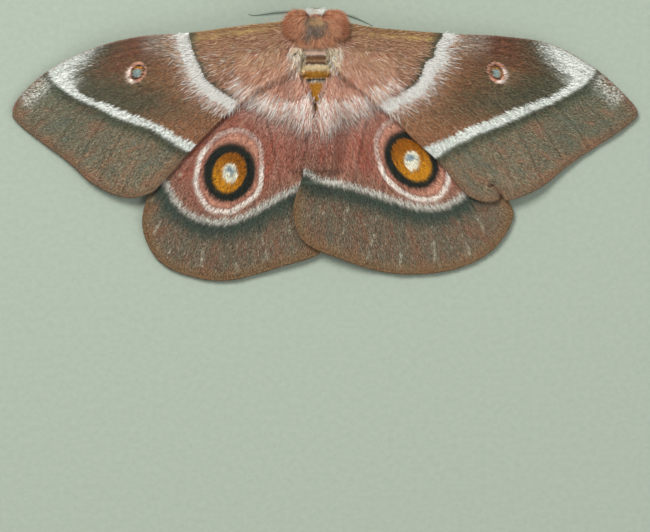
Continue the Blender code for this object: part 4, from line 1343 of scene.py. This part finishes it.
# %% Silk over the roots of the wings
SIDE_NAMES = {LEFT: "left", RIGHT: "right"}
PART = ((4.0, 3.5), (6.0, 3.2), (7.2, 2.6), (8.4, 1.4), (10.0, 0.9), (12.8, 0.05))
FRINGE_LINE = (
    (15.0, -7.0), (11.4, -8.7), (8.2, -10.2), (5.4, -11.3), (3.2, -11.2), (1.5, -10.4), (0.0, -10.1),
)
SILK_SEED = 60
RIM_CORNERS = 6
HINDWING_HAIRS = 13000
FLANK_HAIRS = 1200
OVERHANG_SLOPE = 0.3
SILK_WIDTH = (0.07, 0.12)
SILK_RISE = (0.10, 0.5)
SILK_CLEARANCE = 0.02
ARCH_START = 0.15
ARCH_SPAN = 0.75


def cover_height(places):
    """The top of whatever wing is uppermost at each place, or of the body between the wings."""
    height = rest_height(*places.T) - DRAPE_GAP
    for name in OUTLINES:
        top = wing_height(name, places) + THICKNESS / 2
        height = np.where(inside(places, wing_ring(name)), np.maximum(height, top), height)
    return height


def beside_part(places):
    """How far each place is from the bare strip along the midline, negative inside it."""
    back, half = zip(*PART)
    return np.abs(places[:, 0]) - np.interp(-places[:, 1], back, half)


def jittered_field(name, step, clearance, jitter, draw):
    places = even_field(wing_ring(name), step, clearance)
    return places + draw.uniform(-jitter, jitter, places.shape)


def forewing_silk(side, draw):
    """Short hair over the dark root of the forewing, with pale tips here and there."""
    name = "forewing_" + SIDE_NAMES[side]
    places = jittered_field(name, 0.27, 0.2, 0.14, draw)
    fields = wing_fields(name, places)
    ante, costa = fields["lines"][:, 0], fields["spot"][:, 2]
    chance = (1.15 - np.abs(places[:, 0]) / 24.0) * (0.25 + 0.75 * smooth_step(0.8, 3.0, costa))
    keep = (ante < -0.9) & (beside_part(places) > 0.3) & (draw.uniform(0, 1, len(places)) < chance)
    places, costa = places[keep], costa[keep]
    count = len(places)
    lie = unit(places - wing_root(name)) + draw.normal(0, 0.22, places.shape)
    length = draw.uniform(0.9, 2.1, count)
    pale = 0.08 + (0.3 + 0.45 * smooth_step(1.5, 6.0, costa)) * draw.uniform(0, 1, count) ** 4
    return places, unit(lie), length, pale, draw.normal(0, 0.16, count)


def band_silk(side, draw):
    """Pale hair on the inner line of the forewing, pointing out over the darker middle."""
    name = "forewing_" + SIDE_NAMES[side]
    places = jittered_field(name, 0.25, 0.1, 0.13, draw)
    ante = wing_fields(name, places)["lines"][:, 0]
    chance = smooth_step(-0.1, 0.2, ante) * (1 - smooth_step(0.4, 5.2, ante))
    keep = draw.uniform(0, 1, len(places)) < chance
    places, ante = places[keep], ante[keep]
    count = len(places)
    lie = unit(places - wing_root(name)) + draw.normal(0, 0.2, places.shape)
    length = draw.uniform(0.8, 2.0, count)
    strand = draw.uniform(0, 1, count)
    pale = np.where(ante < 2.0, 0.86 + 0.14 * strand, 0.12 + 0.8 * strand)
    return places, unit(lie), length, pale, draw.normal(0, 0.14, count)


def rim_silk(side, draw):
    """Hair that hangs over the forewing's inner margin, thinning out towards the pale outer line."""
    name = "forewing_" + SIDE_NAMES[side]
    margin = smooth_curve(corners(name)[-RIM_CORNERS:], 0.02)
    places = margin + draw.normal(0.0, 0.6, margin.shape)
    places = places[inside(places, wing_ring(name)) & (beside_part(places) > 0.2)]
    count = len(places)
    from_root = np.linalg.norm(places - wing_root(name), axis=1)
    ante = wing_fields(name, places)["lines"][:, 0]
    hang = np.array((-side * 0.1, -0.7))
    lie = unit(places - wing_root(name)) + hang + draw.normal(0, 0.2, places.shape)
    length = draw.uniform(0.9, 2.4, count)
    white = np.exp(-(((ante - 1.5) / 2.6) ** 2))
    strand = draw.uniform(0, 1, count)
    pale = 0.1 + 0.85 * white * (0.6 + 0.4 * strand) + 0.5 * strand**3
    keep = draw.uniform(0, 1, count) < 1.0 - smooth_step(12.0, 23.0, from_root)
    curl = draw.normal(0, 0.16, count)
    return [values[keep] for values in (places, unit(lie), length, pale, curl)]


def hindwing_silk(side, draw):
    """Long hair from beside the abdomen out over the root of the hindwing, paler beyond a brown edge."""
    count = HINDWING_HAIRS
    places = columns(draw.uniform(0.05, 14.5, count), draw.uniform(-19.5, -2.6, count))
    x, y = places.T
    beyond = signed(places, smooth_curve(FRINGE_LINE, 0.5), (4.0, -4.0)) + draw.normal(0, 0.3, count)
    thinning = 1 - smooth_step(0.3, 1.8 + 6.5 * np.exp(-x / 4.0), beyond)
    chance = np.where(beyond > -0.3, thinning, 0.66) * (np.hypot(x, y + 3.0) < 15.5)
    keep = beside_part(places) > draw.normal(0.1, 0.22, count)
    keep = keep & (draw.uniform(0, 1, count) < chance)
    places, x, beyond = places[keep], x[keep], beyond[keep]
    count = len(places)
    near = np.exp(-x / 1.6)
    lie = unit(columns(0.085 * x + 0.75 * near + draw.normal(0, 0.15, count), -1.0))
    white = smooth_step(-0.5, 0.3, beyond)
    length = (2.3 + 1.6 * white) * draw.uniform(0.6, 1.3, count)
    length = np.where(white < 0.5, np.minimum(length, np.maximum(0.7, 1.2 - beyond)), length)
    strand = draw.uniform(0, 1, count)
    pale = 0.10 + white * (0.08 + 0.78 * strand) + 0.4 * (1 - white) * (strand > 0.86)
    curl = side * (draw.normal(0, 0.14, count) - 0.4 * near)
    return places * (side, 1), lie * (side, 1), length, pale, curl


def flank_silk(side, draw):
    """Cream and dark tufts in the hollow between the abdomen and the wing."""
    count = FLANK_HAIRS
    places = columns(draw.uniform(2.0, 4.9, count), draw.uniform(-6.6, -1.9, count))
    lie = unit(columns(draw.normal(0.1, 0.4, count), -1.0))
    tall = (draw.uniform(0, 1, count) < 0.18) & (places[:, 0] > 3.1)
    length = np.where(tall, 1.9, 1.0) * draw.uniform(0.7, 1.5, count)
    pale = np.where(tall, 1.0, -1.0)
    return places * (side, 1), lie * (side, 1), length, pale, draw.normal(0, 0.2, count)


def silk_coat(side, seed):
    """All the silk of one side, each hair in an arch over whatever lies beneath it."""
    draw = np.random.default_rng(seed)
    systems = (forewing_silk, band_silk, rim_silk, hindwing_silk, flank_silk)
    parts = [system(side, draw) for system in systems]
    roots, lie, length, pale, turn = (np.concatenate(values) for values in zip(*parts))
    count = len(roots)
    across_flat = columns(-lie[:, 1], lie[:, 0])
    rise = draw.uniform(*SILK_RISE, count)
    stations = []
    for t in HAIR_STATIONS:
        flat = roots + lie * (length * t)[:, None] + across_flat * (turn * length * t * t)[:, None]
        arch = math.sin(math.pi * (ARCH_START + t * ARCH_SPAN))
        height = cover_height(flat) + (SILK_CLEARANCE + rise * arch)
        if stations:
            run = np.linalg.norm(flat - stations[-1][:, :2], axis=1)
            height = np.maximum(height, stations[-1][:, 2] - OVERHANG_SLOPE * run)
        stations.append(columns(flat, height))
    centres = np.stack(stations, axis=1)
    along = unit(centres[:, -1] - centres[:, 0])
    across = unit(np.cross(along, (0.0, 0.0, 1.0)))
    widths = draw.uniform(*SILK_WIDTH, count)
    kind = np.where(pale < 0, 0.0, np.clip(pale, 0.05, 1.0))
    fields = {"place": centres[:, 0], "hair": columns(0.0, draw.uniform(0, 1, count), kind)}
    return centres, across, np.cross(across, along), widths, fields, spread_uv(roots)


for side, name in SIDE_NAMES.items():
    piece = hair_piece("silk_" + name, silk_coat(side, SILK_SEED + side))
    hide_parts("forewing_" + name, "hindwing_" + name)

# %% [markdown]
# The eyes are glossy beads with a fine honeycomb. Each feeler is a tapering stem with short branches
# on both sides, set out along its curve by Geometry Nodes.

# %% Eyes
def eye_piece():
    material, s = new_material("eye_gloss", 0.18, specular=0.6)
    values = {"Vector": s.object_place(), "Scale": 9000.0}
    cells = s.node("ShaderNodeTexVoronoi", (), values, "Distance")
    finish(cells.blend(linear("15100c", 1.0), linear("33231a", 1.0)), 1 - cells, 0.00003)
    right = ellipsoid(EYE_CENTRE, (EYE_RADIUS,) * 3)
    obj = make_piece("eyes", *joined([right, mirrored(right)]), material)
    obj.data.shade_smooth()
    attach(obj, "root")
    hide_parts("eye_left", "eye_right")


eye_piece()

# %% Feelers
ANTENNA_PATHS = {
    "antenna_left": (
        (-1.0, 5.0, 5.2), (-3.0, 4.95, 6.0), (-7.7, 4.75, 5.3), (-11.6, 4.4, 3.9), (-12.9, 4.65, 3.3),
    ),
    "antenna_right": ((1.0, 5.0, 5.2), (3.0, 4.85, 6.0), (6.6, 4.1, 5.6), (9.2, 3.1, 4.9), (10.8, 2.35, 4.4)),
}
FEELER_SIZES = {
    "Stem radius": 0.00012,
    "Tip radius": 0.00005,
    "Branch length": 0.00046,
    "Branch spacing": 0.0002,
    "Branch lean": 0.55,
}


def feeler_group():
    """A Geometry Nodes group: a stem swept along a curve, with branches set out on both sides."""
    tree = bpy.data.node_groups.new("feeler", "GeometryNodeTree")
    for way in ("INPUT", "OUTPUT"):
        tree.interface.new_socket("Geometry", in_out=way, socket_type="NodeSocketGeometry")
    for name, value in FEELER_SIZES.items():
        item = tree.interface.new_socket(name, in_out="INPUT", socket_type="NodeSocketFloat")
        item.default_value = value
    tree.interface.new_socket("Material", in_out="INPUT", socket_type="NodeSocketMaterial")
    g = Field(tree)
    given = g.node("NodeGroupInput").socket.node.outputs
    curve, material = Field(tree, given["Geometry"]), Field(tree, given["Material"])
    stem, tip, length, spacing, lean = (Field(tree, given[name]) for name in FEELER_SIZES)

    share = g.node("GeometryNodeSplineParameter", (), (), "Factor")
    radius = g.node("ShaderNodeMapRange", (), {"Value": share, "To Min": stem, "To Max": tip})
    fine = g.node("GeometryNodeResampleCurve", {"mode": "LENGTH"}, {"Curve": curve, "Length": spacing})
    profile = g.node("GeometryNodeCurvePrimitiveCircle", (), {"Resolution": 8, "Radius": 1.0})
    sized = g.node("GeometryNodeSetCurveRadius", (), {"Curve": fine, "Radius": radius})
    swept = {"Curve": sized, "Profile Curve": profile, "Fill Caps": True, "Scale": radius}
    parts = [g.node("GeometryNodeCurveToMesh", (), swept)]

    cone = {"Vertices": 4, "Radius Top": 0.06, "Radius Bottom": 0.12, "Depth": 1.0}
    branch = g.node("GeometryNodeMeshCone", (), cone)
    tangent = g.node("GeometryNodeInputTangent")
    across = {"operation": "CROSS_PRODUCT"}
    scaled = {"operation": "SCALE"}
    outward = g.node("ShaderNodeVectorMath", across, {0: tangent, 1: (0.0, 0.0, 1.0)})
    leaning = g.node("ShaderNodeVectorMath", scaled, {0: tangent, "Scale": lean})
    bare = g.node("ShaderNodeMapRange", (), {"Value": share, "From Min": 0.02, "From Max": 0.15})
    shrink = {"Value": share, "From Min": 1.0, "From Max": 0.6, "To Min": 0.35}
    thin = g.node("ShaderNodeMapRange", (), shrink)
    for sign in (-1.0, 1.0):
        turned_out = g.node("ShaderNodeVectorMath", scaled, {0: outward, "Scale": sign})
        way = g.node("ShaderNodeVectorMath", {"operation": "ADD"}, {0: turned_out, 1: leaning})
        turn = g.node("FunctionNodeAlignRotationToVector", {"axis": "Z"}, {"Vector": way})
        placed = {"Points": fine, "Instance": branch, "Rotation": turn, "Scale": bare * thin * length}
        parts.append(g.node("GeometryNodeInstanceOnPoints", (), placed))
    whole = g.node("GeometryNodeJoinGeometry", (), {0: parts})
    real = g.node("GeometryNodeRealizeInstances", (), {0: whole})
    done = g.node("GeometryNodeSetMaterial", (), {"Geometry": real, "Material": material})
    g.node("NodeGroupOutput", (), {0: done})
    return tree


def made_by(group, obj, values):
    """Runs a group on an object and returns the mesh that it makes."""
    modifier = obj.modifiers.new(group.name, "NODES")
    modifier.node_group = group
    names = {item.name: item.identifier for item in group.interface.items_tree if item.in_out == "INPUT"}
    for key, value in values.items():
        modifier[names[key]] = value
    return evaluated_mesh(obj)


def path_object(name, points):
    """A smooth curve through places in the moth's frame."""
    fine = (smooth_curve(points, 0.4) + SHIFT) * MM
    curve = bpy.data.curves.new(name, "CURVE")
    curve.dimensions = "3D"
    spline = curve.splines.new("POLY")
    spline.points.add(len(fine) - 1)
    for point, place in zip(spline.points, fine):
        point.co = (*place, 1.0)
    return linked(name, curve)


def feeler_pieces():
    material, s = new_material("antenna_chitin", 0.5)
    finish(s.noise(s.object_place(), 2000.0).blend("2c332e", "4d564c"))
    group = feeler_group()
    for name, path in ANTENNA_PATHS.items():
        mesh = made_by(group, path_object(name + "_path", path), {"Material": material})
        obj = linked(name + "_branched", mesh)
        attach(obj, "root")
        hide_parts(name)
        print(obj.name, len(mesh.polygons), "faces")


feeler_pieces()

# %% [markdown]
# The floor is plain and pale, the light is soft and comes mostly from above, and the camera looks
# straight down from far away with a long lens, as the photograph does.

# %% Floor, light and camera
IMAGE_PX = (650.0, 532.0)
CAMERA_HEIGHT = 600.0
SENSOR = 36.0
FLOOR_SIZE = 4.0
SKY_STRENGTH = 0.40


def stage_floor():
    bpy.ops.mesh.primitive_plane_add(size=FLOOR_SIZE, location=(0, 0, 0))
    floor = bpy.context.object
    floor.name = "floor"
    material, s = new_material("floor_paint", 0.85)
    grain = s.noise(s.object_place(), 900.0, 4.0)
    finish(grain.blend(linear("939e90", 1.0), linear("a2ac9d", 1.0)), grain)
    floor.data.materials.append(material)


def area_light(name, place, size, power):
    """A square light that faces the middle of the floor."""
    light = bpy.data.lights.new(name, "AREA")
    light.size = size
    light.energy = power
    obj = linked(name, light)
    obj.location = place
    obj.rotation_euler = (-Vector(place)).to_track_quat("-Z", "Y").to_euler()


def photo_camera():
    centre = from_photo(np.array(IMAGE_PX) / 2) + SHIFT[:2]
    camera = bpy.data.cameras.new("camera")
    camera.sensor_width = SENSOR
    camera.lens = SENSOR * CAMERA_HEIGHT / (IMAGE_PX[0] * PIXEL)
    camera.clip_start = 0.01
    obj = linked("camera", camera)
    obj.location = (centre[0] * MM, centre[1] * MM, CAMERA_HEIGHT * MM)
    bpy.context.scene.camera = obj


def soft_world():
    world = bpy.data.worlds.new("sky")
    world.use_nodes = True
    inputs = world.node_tree.nodes["Background"].inputs
    inputs["Color"].default_value = (1.0, 1.0, 1.0, 1.0)
    inputs["Strength"].default_value = SKY_STRENGTH
    bpy.context.scene.world = world
    bpy.context.scene.view_settings.view_transform = "Standard"


stage_floor()
soft_world()
area_light("key", (-0.25, 0.35, 0.6), 0.3, 5.6)
area_light("fill", (0.5, -0.2, 0.6), 0.6, 2.2)
photo_camera()
